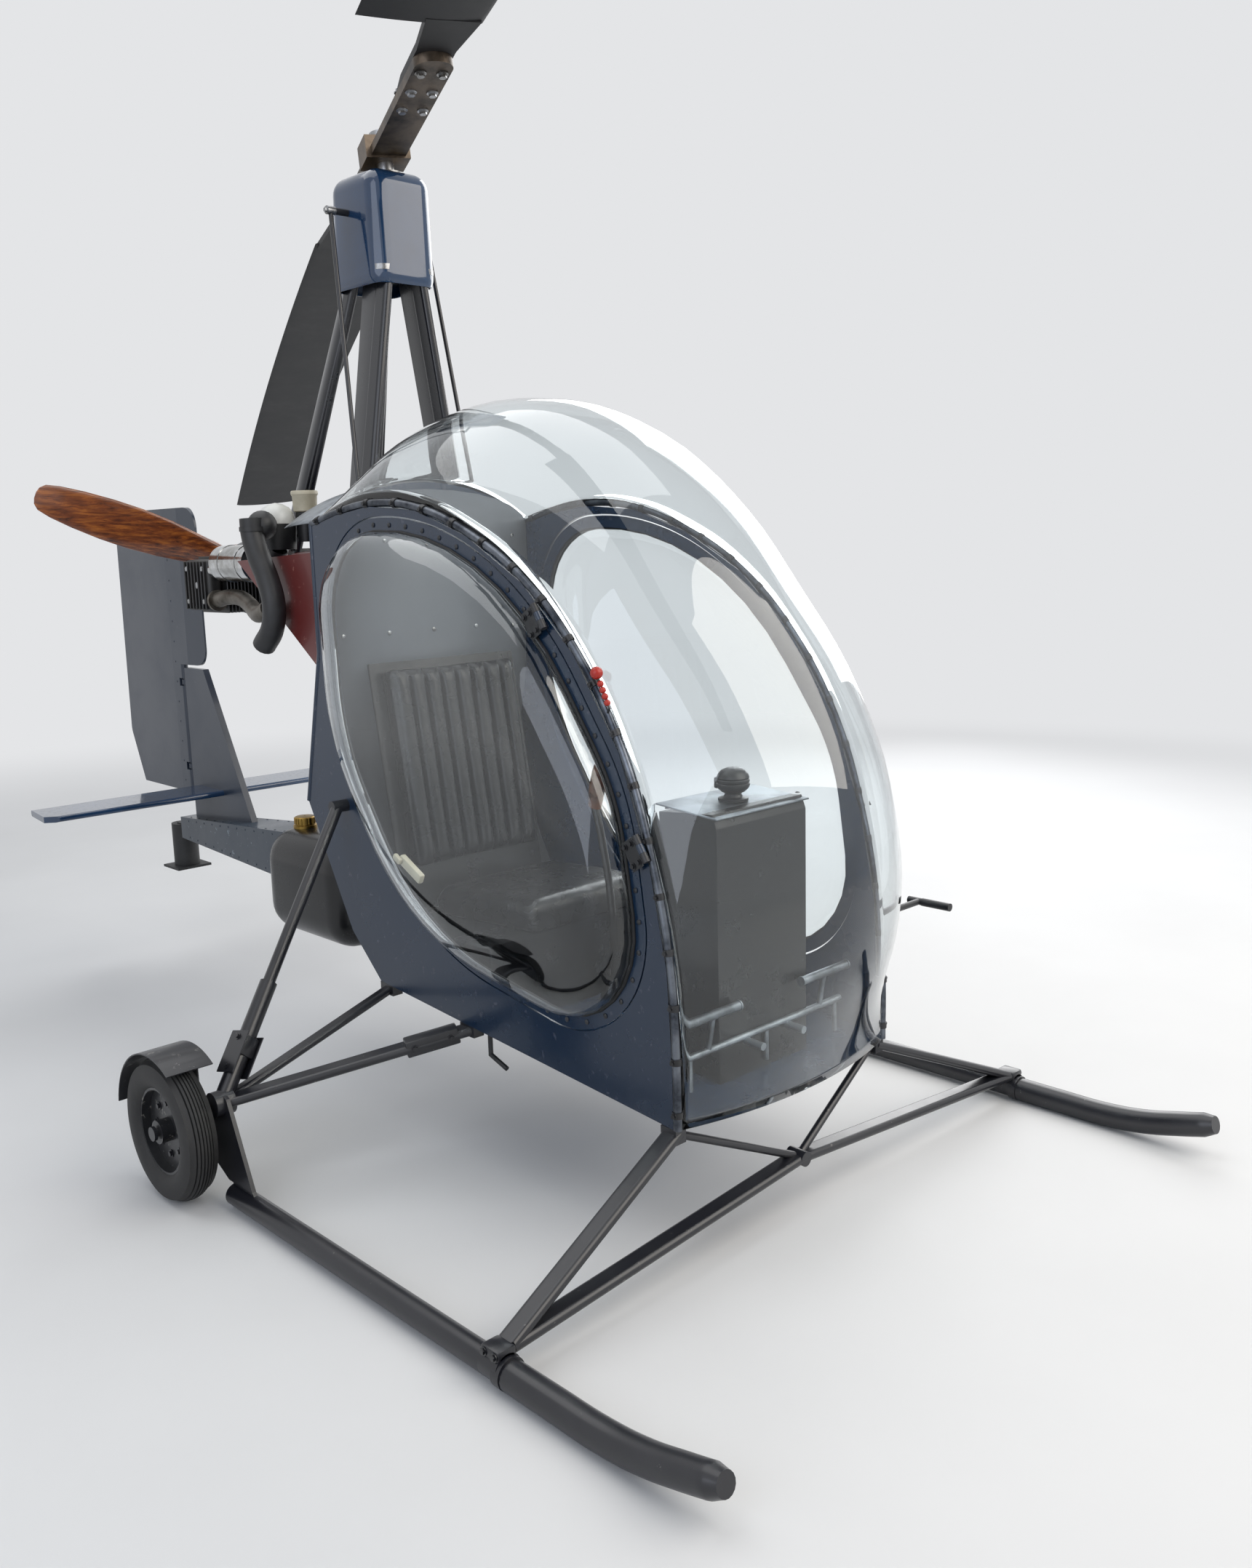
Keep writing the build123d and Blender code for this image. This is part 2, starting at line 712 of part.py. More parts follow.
boom_block = boom_shape(0)
boom = boom_block - boom_shape(boom_wall) - cabin_block
save(boom, "tail_boom")


def boom_high(y):
    share = (y - boom_front_y) / (boom_rear_y - boom_front_y)
    return boom_front_high + share * (boom_rear_high - boom_front_high)


# Stabiliser, a thin wing with raked tips through the foot of the fin
half_span = stabiliser_span / 2
half_stab = stabiliser_chord / 2
tip_rake = 30
stab_outline = [
    (-half_span, stabiliser_y - half_stab + tip_rake), (-half_span + 20, stabiliser_y + half_stab),
    (half_span - 20, stabiliser_y + half_stab), (half_span, stabiliser_y - half_stab + tip_rake),
    (half_span - 40, stabiliser_y - half_stab), (-half_span + 40, stabiliser_y - half_stab),
]
stab_low_z = stabiliser_z - stabiliser_depth / 2
stab_face = make_face(Polyline(*[(x, y, stab_low_z) for x, y in stab_outline], close=True))
stabiliser = extrude(stab_face, stabiliser_depth, dir=(0, 0, 1))
stabiliser = fillet(stabiliser.edges().filter_by(Axis.X), stabiliser_depth / 2 - 1)
save(stabiliser, "stabiliser")

# Fin and the rudder hung on it by two pins
fin_rear_y = rudder_hinge_y - rudder_hinge_gap
nose_radius = rudder_wall / 2
lug_radius = 11
lug_height = 16
pin_radius = 6
pin_clearance = 0.05
notch_gap = 6
lug_levels = (735, 1040)
spar_y = fin_rear_y - nose_radius
fin = side_plate([
    (fin_root_front_y, boom_high(fin_root_front_y) - 30), (fin_top_front_y, fin_top_z),
    (spar_y, fin_top_z), (spar_y, boom_high(fin_rear_y) - 30),
], -fin_wall / 2, fin_wall / 2) - boom_block - stabiliser
for level in lug_levels:
    low = level - lug_height / 2
    fin += Pos(0, (spar_y + rudder_hinge_y) / 2, level) * Box(lug_radius, rudder_hinge_y - spar_y, lug_height)
    fin += rod((0, rudder_hinge_y, low), (0, rudder_hinge_y, low + lug_height), lug_radius)
    pin_foot = (0, rudder_hinge_y, low - 1)
    pin_head = (0, rudder_hinge_y, low + lug_height + 1)
    fin -= rod(pin_foot, pin_head, pin_radius + pin_clearance)
save(fin, "fin")

balance_low_z = fin_top_z + rudder_clearance
rudder_face = make_face(FilletPolyline(
    (0, rudder_hinge_y, rudder_low_z), (0, rudder_hinge_y, balance_low_z),
    (0, rudder_balance_y, balance_low_z), (0, rudder_balance_y + 5, rudder_high_z),
    (0, rudder_trailing_y - 12, rudder_high_z),
    (0, rudder_trailing_y + 5, rudder_low_z + rudder_heel_rise),
    (0, rudder_trailing_y - rudder_heel_run, rudder_low_z),
    radius=[0.5, 0.5, 60, 70, 60, 60, 0.5], close=True))
rudder = extrude(rudder_face, rudder_wall / 2, dir=(1, 0, 0), both=True)
edge_half = tail_edge / 2
flat_half = 60
rudder_plan = make_face(Polyline(
    (edge_half, rudder_balance_y - 1, 0), (nose_radius, rudder_hinge_y - flat_half, 0),
    (nose_radius, rudder_hinge_y + flat_half, 0), (edge_half, rudder_trailing_y + 6, 0),
    (-edge_half, rudder_trailing_y + 6, 0), (-nose_radius, rudder_hinge_y + flat_half, 0),
    (-nose_radius, rudder_hinge_y - flat_half, 0), (-edge_half, rudder_balance_y - 1, 0), close=True))
rudder = rudder & extrude(rudder_plan, rudder_high_z + 1, dir=(0, 0, 1))
room_plan = make_face(Polyline(
    (nose_radius - tail_skin, rudder_spar_y, 0), (edge_half, rudder_trailing_y - tail_rim, 0),
    (-edge_half, rudder_trailing_y - tail_rim, 0), (-nose_radius + tail_skin, rudder_spar_y, 0), close=True))
rudder_room = extrude(offset(rudder_face, -tail_rim), rudder_wall, dir=(1, 0, 0), both=True)
rudder -= rudder_room & extrude(room_plan, rudder_high_z, dir=(0, 0, 1))
rudder += rod((0, rudder_hinge_y, rudder_low_z), (0, rudder_hinge_y, balance_low_z + 20), nose_radius)
for level in lug_levels:
    low = level - lug_height / 2 - notch_gap
    high = level + lug_height / 2 + notch_gap
    rudder -= Pos(0, rudder_hinge_y, level) * Box(rudder_wall + 2, 2 * (lug_radius + notch_gap), high - low)
    rudder += rod((0, rudder_hinge_y, low - 1), (0, rudder_hinge_y, high + 1), pin_radius)
save(rudder, "rudder")

# Tail bumper below the end of the boom: a rubber-faced post with a foot plate
post_top_z = bumper_high_z
bumper = rod((0, bumper_y, bumper_low_z + 8), (0, bumper_y, post_top_z - 30), bumper_radius)
bumper += Pos(0, bumper_y, bumper_low_z + 4) * Box(bumper_plate_width, bumper_plate_length, 8)
bumper += Pos(0, (boom_rear_y + bumper_y) / 2, post_top_z - 38) * Box(50, bumper_y - boom_rear_y + 10, 24)
save(bumper - boom_block, "tail_bumper")

# Fuel tank, shaped to the rear wall, with its filler neck and cap
tank_size = [high - low for low, high in zip(tank_low, tank_high)]
tank_middle = [(high + low) / 2 for low, high in zip(tank_low, tank_high)]
tank_block = Box(*tank_size)
tank_block = fillet(tank_block.edges().filter_by(Axis.Y), tank_round)
tank_room = Box(*[size - 2 * tank_wall for size in tank_size])
tank_room = chamfer(tank_room.edges(), tank_round * 0.6)
cabin_margin = cabin_block.moved(Location((0, tank_wall * 2, 0)))
tank = Pos(*tank_middle) * tank_block - cabin_block - (Pos(*tank_middle) * tank_room - cabin_margin)
cap_x = tank_middle[0]
cap_y = tank_high[1] - tank_round - cap_radius
tank += rod((cap_x, cap_y, tank_high[2] - 2), (cap_x, cap_y, tank_high[2] + cap_height), cap_radius)
save(tank, "fuel_tank")

# Engine: crankcase with a propeller gearbox, and a finned cylinder on each side
case_front_y = engine_y - case_length / 2
case_rear_y = engine_y + case_length / 2
crankcase = Pos(0, engine_y, engine_z) * Box(2 * case_half_width, case_length, case_height)
crankcase = fillet(crankcase.edges().filter_by(Axis.Y), 34)
gearbox_rear_y = prop_y - prop_hub_depth / 2 - 8
crankcase += rod((0, case_rear_y, prop_z), (0, gearbox_rear_y, prop_z), 78)
crankcase += rod((0, case_front_y - 50, engine_z - 10), (0, case_front_y, engine_z - 10), 70)
shaft_radius = 18
shaft_clearance = 0.05
shaft_nut_y = prop_y + prop_hub_depth / 2 + 6
shaft_end_y = shaft_nut_y + 14
crankcase += rod((0, gearbox_rear_y, prop_z), (0, shaft_end_y, prop_z), shaft_radius)
crankcase += rod((0, shaft_nut_y, prop_z), (0, shaft_end_y, prop_z), shaft_radius + 8)
save(crankcase, "crankcase")

barrel_start = -case_half_width
barrel_end = barrel_start - fin_count * fin_pitch
barrel = Box(barrel_start - barrel_end, 2 * cylinder_radius, 2 * cylinder_radius)
barrel = chamfer(barrel.edges().filter_by(Axis.X), cylinder_radius * 0.55)
cylinder = Pos((barrel_start + barrel_end) / 2, engine_y, engine_z) * barrel
fin_plate = Box(fin_thickness, 2 * fin_radius, 2 * fin_radius)
fin_plate = chamfer(fin_plate.edges().filter_by(Axis.X), fin_radius * 0.45)
for index in range(fin_count):
    cylinder += Pos(barrel_start - index * fin_pitch - fin_pitch / 2, engine_y, engine_z) * fin_plate
head_side = 2 * fin_radius - 14
head = Pos(barrel_end - head_length / 2, engine_y, engine_z) * Box(head_length, head_side, head_side)
cylinder += fillet(head.edges().filter_by(Axis.X), 26)
head_end_x = barrel_end - head_length
cylinder += rod((head_end_x, engine_y, engine_z + 24), (head_end_x - 26, engine_y, engine_z + 24), 11)
save(cylinder, "cylinder_stbd")
save(mirrored(cylinder), "cylinder_port")

intake_x = barrel_end - head_length / 2
intake_y = engine_y - 2 * fin_radius + 30
intake_z = engine_z + 62
intake = rod((intake_x, intake_y - intake_length, intake_z), (intake_x, intake_y, intake_z), intake_radius)
intake += rod((intake_x, intake_y, intake_z - 18), (intake_x, engine_y - fin_radius + 7, intake_z - 18), 24)
intake = intake - cylinder
save(Compound([intake, mirrored(intake)]), "air_intakes")

port_y = engine_y - fin_radius + 7
stack_y = 180
stack_x = -390
stack_lean = 30
stack_rise = 190
stack_drop = 160
header_high_z = engine_z - 45
header_low_z = engine_z - 75
header_run = 110
header = pipe([
    (intake_x, port_y, header_high_z), (intake_x, port_y - header_run, header_high_z),
    (intake_x, port_y - 2 * header_run, header_low_z), (stack_x, stack_y + 20, header_low_z),
], exhaust_radius)
stack_high = Vector(stack_x, stack_y + stack_lean, engine_z + stack_rise)
stack_low = Vector(stack_x, stack_y - stack_lean, engine_z - stack_drop)
stack_run = (stack_low - stack_high).normalized()
stack = rod(stack_high, stack_low, stack_radius)
stack_room = rod(stack_high + stack_run * stack_wall, stack_low + stack_run, stack_radius - stack_wall)
exhaust = header + stack - stack_room - cylinder
save(exhaust, "exhaust_stbd")
save(mirrored(exhaust), "exhaust_port")

# Engine bay: four tubes from the rear wall to the crankcase and a side gusset by each pair
bay_x = cabin_half_width - 70
bay_high_z = 1490
bay_low_z = 1120
bay_low_share = (bay_low_z - rear_bulge_z) / (rear_shoulder_z - rear_bulge_z)
bay_low_y = rear_bulge_y + (rear_top_y - rear_bulge_y) * bay_low_share
lug_x = case_half_width - 8
lug_y = case_front_y + 20
lug_high_z = engine_z + 70
lug_low_z = engine_z - 60
bay_tubes = []
for x_sign in (-1, 1):
    bay_tubes.append(rod(
        (x_sign * bay_x, rear_top_y, bay_high_z), (x_sign * lug_x, lug_y, lug_high_z), mount_radius))
    bay_tubes.append(rod(
        (x_sign * bay_x, bay_low_y - 20, bay_low_z), (x_sign * lug_x, lug_y, lug_low_z), mount_radius))
engine_mount = Compound([piece - crankcase - cabin_block for piece in bay_tubes])
save(engine_mount, "engine_mount")
gusset_x = cabin_half_width - side_wall - 2
gusset_wall = 4
gusset_reach = 420
gusset = side_plate([
    (rear_top_y, bay_high_z), (rear_top_y, rear_shoulder_z - 60),
    (rear_top_y + gusset_reach, bay_high_z - 20),
], -gusset_x, -gusset_x + gusset_wall) - intake - cabin_block
save(Compound([gusset, mirrored(gusset)]), "bay_gussets")

# Mast: four oval legs in a pyramid, two from the rear wall and two from the engine bay
foot_share = (mast_rear_foot_y - rear_top_y) / (lug_y - rear_top_y)
mast_rear_foot_x = bay_x + (lug_x - bay_x) * foot_share
mast_rear_foot_z = bay_high_z + (lug_high_z - bay_high_z) * foot_share
foot_width = 64
foot_high = 70
legs = []
for x_sign in (-1, 1):
    front_foot = (x_sign * mast_foot_x, mast_front_foot_y, mast_front_foot_z)
    front_top = (x_sign * mast_top_x, mast_front_top_y, mast_top_z)
    front_leg = streamlined(front_foot, front_top, mast_chord, mast_depth)
    front_leg -= streamlined(front_foot, front_top, mast_chord - 2 * mast_wall, mast_depth - 2 * mast_wall)
    foot_depth = mast_front_foot_y + mast_depth - rear_top_y
    foot_place = Pos(x_sign * mast_foot_x, rear_top_y + foot_depth / 2, mast_front_foot_z)
    front_leg += foot_place * Box(foot_width, foot_depth, foot_high)
    rear_foot = (x_sign * mast_rear_foot_x, mast_rear_foot_y, mast_rear_foot_z)
    rear_top = (x_sign * mast_top_x, mast_rear_top_y, mast_top_z)
    rear_chord = mast_chord - 12
    rear_leg = streamlined(rear_foot, rear_top, rear_chord, mast_depth)
    rear_leg -= streamlined(rear_foot, rear_top, rear_chord - 2 * mast_wall, mast_depth - 2 * mast_wall)
    legs += [front_leg, rear_leg - engine_mount]
above_mast = Pos(0, 0, mast_top_z + mast_chord) * Box(4 * mast_foot_x, 4 * mast_foot_x, 2 * mast_chord)
mast_legs = Compound([leg - above_mast for leg in legs])
save(mast_legs, "mast_legs")

# Rotor head: plate on the legs, tilted bearing and spindle
tilt = radians(hub_tilt)
spin = Vector(0, sin(tilt), cos(tilt))
hub = Vector(0, 0, hub_z)
bearing_low = hub - spin * 170
bearing_high = hub - spin * 46
plate_half_x = fairing_width / 2 - fairing_wall - 0.3
plate_half_y = fairing_length / 2 - fairing_wall - 0.3
head = Box(2 * plate_half_x, 2 * plate_half_y, head_plate_wall)
head = Pos(0, fairing_y, mast_top_z + head_plate_wall / 2) * head
head = fillet(head.edges().filter_by(Axis.Z), fairing_round - fairing_wall)
head += rod((0, bearing_low.Y, mast_top_z + head_plate_wall - 1), bearing_low, 30)
head += rod(bearing_low - Vector(46, 0, 0), bearing_low + Vector(46, 0, 0), 34)
head += rod(bearing_low, bearing_high, bearing_radius)
head += rod(bearing_high, hub + spin * 60, spindle_radius)
head += rod(hub + spin * 48, hub + spin * 62, spindle_radius + 12)
save(head, "rotor_head")

# Cover round the head: a rounded box, open below for the legs and above for the bearing
cover = Pos(0, fairing_y, fairing_z) * Box(fairing_width, fairing_length, fairing_height)
cover = fillet(cover.edges().filter_by(Axis.Z), fairing_round)
cover = chamfer(cover.faces().sort_by(Axis.Z)[-1].edges(), fairing_round * 0.6)
room = Pos(0, fairing_y, fairing_z) * Box(
    fairing_width - 2 * fairing_wall, fairing_length - 2 * fairing_wall, fairing_height - 2 * fairing_wall)
room = fillet(room.edges().filter_by(Axis.Z), fairing_round - fairing_wall)
room = chamfer(room.faces().sort_by(Axis.Z)[-1].edges(), fairing_round * 0.6 - fairing_wall / 2)
cover = cover - room
cover_foot = Box(fairing_width, fairing_length, 2 * fairing_round)
cover -= Pos(0, fairing_y, fairing_z - fairing_height / 2) * cover_foot
cover -= rod(bearing_low, hub, bearing_radius + 6)
save(cover, "head_cover")

# Control rods from the head's side levers to the cabin
lever_y = fairing_y + 14
lever_z = fairing_z + 62
rods = []
for x_sign in (-1, 1):
    eye = (x_sign * (fairing_width / 2 + 52), lever_y, lever_z)
    lever = rod((x_sign * fairing_width / 2, lever_y, lever_z), eye, 9)
    foot = (x_sign * control_foot_x, rear_top_y + 9, control_foot_z)
    rods.append(lever + rod(eye, foot, control_rod_radius) + Pos(*foot) * Box(26, 18, 40) - firewall)
save(Compound(rods), "control_rods")

# Rotor hub bar with its teeter blocks
front_way = Vector(-sin(radians(rotor_azimuth)), -cos(radians(rotor_azimuth)), 0)
front_way = (front_way - spin * front_way.dot(spin)).normalized()
lead_way = spin.cross(front_way)
hub_plane = Plane(origin=hub, x_dir=front_way, z_dir=spin)
bar = extrude(hub_plane * RectangleRounded(2 * bar_half_length, bar_width, 40), bar_thickness / 2, both=True)
hub_tower = hub_plane * (Pos(0, 0, 12) * Box(96, bar_width + 26, 58))
rotor_hub = bar + hub_tower
rotor_hub -= rod(hub - spin * 60, hub + spin * 60, spindle_radius + spindle_clearance)
save(rotor_hub, "rotor_hub")

# Blades: root strap on the bar, then the full chord from the cut to the tip
strap_low = bar_thickness / 2 + 0.3
strap_thickness = 16
blade_level = strap_low + strap_thickness / 2
blade_stations = (blade_cut, 1500, 2300, rotor_radius)
# Strap's half width along the span
strap_stations = [(blade_root - 120, 34), (blade_root, 46), (bar_half_length, 46), (blade_cut + 20, 62)]


def span_point(way, distance):
    """Middle of the blade's thickness at a distance from the hub."""
    past_bar = max(0, distance - bar_half_length)
    sag = droop_slope * past_bar + droop_curve * past_bar ** 2
    return hub + way * distance + spin * blade_level - Vector(0, 0, sag)


def blade_section(way, lead, distance, front, rear, thickness):
    """Lens-shaped blade section square to the span, lowered by the droop."""
    plane = Plane(origin=span_point(way, distance), x_dir=lead, z_dir=way)
    chord = front - rear
    upper = [(front - share * chord, height * thickness) for share, height in blade_shape]
    lower = [(front - share * chord, -height * thickness) for share, height in blade_shape[::-1]]
    return plane * make_face(Polyline((front, 0), *upper, (rear, 0), *lower, close=True))


def blade(way, lead):
    front = spar_share * blade_chord
    rear = front - blade_chord
    sections = [blade_section(way, lead, place, front, rear, blade_thickness) for place in blade_stations]
    aerofoil = loft(sections, ruled=True)
    straps = []
    for place, half in strap_stations:
        plane = Plane(origin=span_point(way, place), x_dir=lead, z_dir=way)
        straps.append(plane * Rectangle(2 * half, strap_thickness))
    return aerofoil + loft(straps, ruled=True)


blade_forward = blade(front_way, lead_way)
blade_aft = blade(-front_way, -lead_way)
save(blade_forward, "blade_forward")
save(blade_aft, "blade_aft")

# Propeller: carved two-blade wooden airscrew clamped between hub plates
prop_way = (-cos(radians(prop_angle)), 0, sin(radians(prop_angle)))
prop_hub_plane = Plane(origin=(0, prop_y, prop_z), x_dir=prop_way, z_dir=(0, 1, 0))
# Each blade section: distance from the hub, chord, thickness, twist in degrees
prop_sections = [
    (60, 84, 46, 52), (190, prop_root_chord + 20, 32, 38), (380, prop_mid_chord, 20, 24),
    (560, prop_mid_chord - 20, 13, 17), (prop_radius, prop_tip_chord, 6, 13),
]


def prop_blade(sign):
    faces = []
    for distance, chord, thickness, twist in prop_sections:
        middle = prop_hub_plane.from_local_coords(Vector(sign * distance, 0, 0))
        way = prop_hub_plane.x_dir * sign
        plane = Plane(origin=middle, x_dir=(0, 1, 0), z_dir=way).rotated((0, 0, 90 - twist))
        faces.append(plane * make_face(Polyline(
            (-chord / 2, 0), (-chord / 4, -thickness / 2), (chord / 4, -thickness / 2), (chord / 2, 0),
            (chord / 4, thickness / 2), (-chord / 4, thickness / 2), close=True)))
    return loft(faces, ruled=True)


prop_hub_half = prop_hub_depth / 2
propeller = rod((0, prop_y - prop_hub_half, prop_z), (0, prop_y + prop_hub_half, prop_z), prop_hub_radius)
propeller += prop_blade(1)
propeller += prop_blade(-1)
propeller -= rod((0, prop_y - 60, prop_z), (0, prop_y + 60, prop_z), shaft_radius + shaft_clearance)
save(propeller, "propeller")

# Small parts: pitot tube on the port side of the nose, vent pipe under the belly
pitot_z = 590
pitot_y = nose_y + 40
pitot_arm = 205
pitot_tip_x = cabin_half_width + pitot_arm
pitot = rod((cabin_half_width, pitot_y, pitot_z), (pitot_tip_x, pitot_y, pitot_z), pitot_radius)
pitot_tail = 30
pitot_collar = 10
pitot_probe = 80
probe_root_y = pitot_y - pitot_collar
probe_root = (pitot_tip_x, probe_root_y, pitot_z)
pitot += rod((pitot_tip_x, pitot_y + pitot_tail, pitot_z), probe_root, pitot_radius + 1)
pitot += rod(probe_root, (pitot_tip_x, probe_root_y - pitot_probe, pitot_z), pitot_radius + 2)
save(pitot, "pitot_tube")
vent_x = -cabin_half_width + 40
vent_y = -700
vent_top = (vent_x, vent_y, belly_z(vent_y))
vent = pipe([vent_top, (vent_x, vent_y, belly_z(vent_y) - 75), (vent_x, vent_y - 60, belly_z(vent_y) - 95)],
            vent_radius)
save(vent - floor_pan - cabin_block, "vent_pipe")
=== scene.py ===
"""Studio scene of a single-seat light autogyro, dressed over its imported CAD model.

Metres. The nose points to -Y, port is +X and up is +Z.
"""
import json
import math

import bmesh
import bpy
from mathutils import Matrix, Vector


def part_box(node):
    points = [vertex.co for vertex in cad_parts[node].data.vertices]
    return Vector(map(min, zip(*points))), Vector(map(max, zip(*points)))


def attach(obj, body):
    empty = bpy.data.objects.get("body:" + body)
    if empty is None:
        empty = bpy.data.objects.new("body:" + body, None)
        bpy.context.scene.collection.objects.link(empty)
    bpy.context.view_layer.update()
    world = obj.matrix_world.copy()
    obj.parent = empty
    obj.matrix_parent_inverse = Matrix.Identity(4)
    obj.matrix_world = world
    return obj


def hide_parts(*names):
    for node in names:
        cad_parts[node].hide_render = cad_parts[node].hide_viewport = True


bl_info = {
    "name": "Light autogyro",
    "version": (1, 0, 0),
    "blender": (4, 5, 0),
    "location": "View3D > Sidebar > Autogyro",
    "description": "Glazing, seat, running gear, engine and rotor details of a light autogyro",
    "category": "Object",
}

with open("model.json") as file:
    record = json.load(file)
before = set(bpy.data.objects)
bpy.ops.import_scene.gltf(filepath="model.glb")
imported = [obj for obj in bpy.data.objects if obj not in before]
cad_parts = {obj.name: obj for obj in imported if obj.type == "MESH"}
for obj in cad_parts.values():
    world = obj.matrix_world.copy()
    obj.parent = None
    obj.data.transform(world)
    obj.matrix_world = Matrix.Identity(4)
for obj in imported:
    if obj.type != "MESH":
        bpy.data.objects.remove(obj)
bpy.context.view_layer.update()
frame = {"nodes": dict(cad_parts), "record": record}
SIDES = (("stbd", -1), ("port", 1))


# Sizes and colours

class AUTOGYRO_PG_cabin(bpy.types.PropertyGroup):
    glass_wall: bpy.props.FloatProperty(
        name="Glass wall", description="Thickness of the canopy", default=0.004, unit="LENGTH")
    rail_radius: bpy.props.FloatProperty(
        name="Rail radius", description="Radius of the canopy rail", default=0.0095, unit="LENGTH")
    bulge: bpy.props.FloatProperty(
        name="Window bulge", description="How far each door window stands out", default=0.095,
        unit="LENGTH")
    screw_pitch: bpy.props.FloatProperty(
        name="Screw pitch", description="Distance between the screws of a door frame", default=0.066,
        unit="LENGTH")
    glass_colour: bpy.props.StringProperty(
        name="Glass", description="Tint of the clear plastic, sRGB hex", default="#F4F8F9")
    paint_colour: bpy.props.StringProperty(
        name="Paint", description="Gloss paint of the cabin sides, sRGB hex", default="#0C233A")
    lining_colour: bpy.props.StringProperty(
        name="Lining", description="Rear wall inside the cabin, sRGB hex", default="#5E6268")


class AUTOGYRO_PG_seat(bpy.types.PropertyGroup):
    channels: bpy.props.IntProperty(
        name="Channels", description="Sewn channels across the seat back", default=8, min=2, max=20)
    puff: bpy.props.FloatProperty(
        name="Puff", description="How far a channel stands proud of its seams", default=0.027, unit="LENGTH")
    leather_colour: bpy.props.StringProperty(
        name="Leather", description="Seat cover, sRGB hex", default="#0A0B0D")


class AUTOGYRO_PG_gear(bpy.types.PropertyGroup):
    ribs: bpy.props.IntProperty(
        name="Ribs", description="Ribs round each tyre's tread", default=7, min=3, max=15)
    shoe_radius: bpy.props.FloatProperty(
        name="Shoe radius", description="Radius of the bent nose of a skid", default=0.03, unit="LENGTH")
    skid_radius: bpy.props.FloatProperty(
        name="Skid radius", description="Radius of the straight skid tube", default=0.026, unit="LENGTH")
    gear_colour: bpy.props.StringProperty(
        name="Gear paint", description="Skids and legs, sRGB hex", default="#15161C")
    rubber_colour: bpy.props.StringProperty(
        name="Rubber", description="Tyres and tail roller, sRGB hex", default="#1E1E1F")


class AUTOGYRO_PG_engine(bpy.types.PropertyGroup):
    cooling_fins: bpy.props.IntProperty(
        name="Cooling fins", description="Fins along each cylinder", default=14, min=4, max=30)
    wood_colour: bpy.props.StringProperty(
        name="Wood", description="Varnished propeller, sRGB hex", default="#7C3F1B")
    alloy_colour: bpy.props.StringProperty(
        name="Alloy", description="Cast engine parts, sRGB hex", default="#8B8D90")


class AUTOGYRO_PG_rotor(bpy.types.PropertyGroup):
    blade_chord: bpy.props.FloatProperty(
        name="Blade chord", description="Width of a rotor blade", default=0.28, unit="LENGTH")
    blade_colour: bpy.props.StringProperty(
        name="Blade", description="Rotor blade skin, sRGB hex", default="#0C0D10")
    cover_colour: bpy.props.StringProperty(
        name="Cover", description="Moulded cover of the rotor head, sRGB hex", default="#102A47")


class AUTOGYRO_PG_stage(bpy.types.PropertyGroup):
    floor_colour: bpy.props.StringProperty(
        name="Floor", description="Floor and backdrop, sRGB hex", default="#D6D7D8")
    backdrop_colour: bpy.props.StringProperty(
        name="Backdrop", description="Background that the camera sees, sRGB hex", default="#E4E5E7")
    key_power: bpy.props.FloatProperty(
        name="Key light", description="Strength of the main soft light in watts", default=300.0)


GROUPS = {
    "autogyro_cabin": AUTOGYRO_PG_cabin,
    "autogyro_seat": AUTOGYRO_PG_seat,
    "autogyro_gear": AUTOGYRO_PG_gear,
    "autogyro_engine": AUTOGYRO_PG_engine,
    "autogyro_rotor": AUTOGYRO_PG_rotor,
    "autogyro_stage": AUTOGYRO_PG_stage,
}

# Places and angles that several pieces share, read off the CAD model
PORT, AFT, UP = Vector((1, 0, 0)), Vector((0, 1, 0)), Vector((0, 0, 1))
RAIL_X = 0.354
WALL_X = 0.36
PROPELLER_HUB = Vector((0, 0.925, 1.45))
PROPELLER_TILT = math.radians(19)
ROTOR_HUB = Vector((0, 0, 2.516))
ROTOR_TILT = math.radians(7.24)
ROTOR_AZIMUTH = math.radians(21.8)


# Materials

def colour(code):
    """Linear colour of an sRGB hex value."""
    parts = [int(code[place:place + 2], 16) / 255 for place in (1, 3, 5)]
    return (*[part / 12.92 if part <= 0.04045 else ((part + 0.055) / 1.055) ** 2.4 for part in parts], 1)


def add_node(tree, kind, values=None, links=None, stops=None, **settings):
    """One node with its settings, socket values and incoming links. Stops fill a colour ramp."""
    made = tree.nodes.new(kind)
    for name, value in settings.items():
        setattr(made, name, value)
    for socket, value in (values or {}).items():
        made.inputs[socket].default_value = value
    for socket, source in (links or {}).items():
        tree.links.new(source, made.inputs[socket])
    if stops:
        ramp = made.color_ramp
        while len(ramp.elements) < len(stops):
            ramp.elements.new(0.5)
        for element, (place, shade) in zip(ramp.elements, stops):
            element.position = place
            element.color = shade
    return made


def new_material(name):
    """A material with its nodes, its shader and the Object coordinates that its patterns read."""
    material = bpy.data.materials.new(name)
    material.use_nodes = True
    tree = material.node_tree
    shader = tree.nodes["Principled BSDF"]
    place = add_node(tree, "ShaderNodeTexCoord").outputs["Object"]
    return material, tree, shader, place


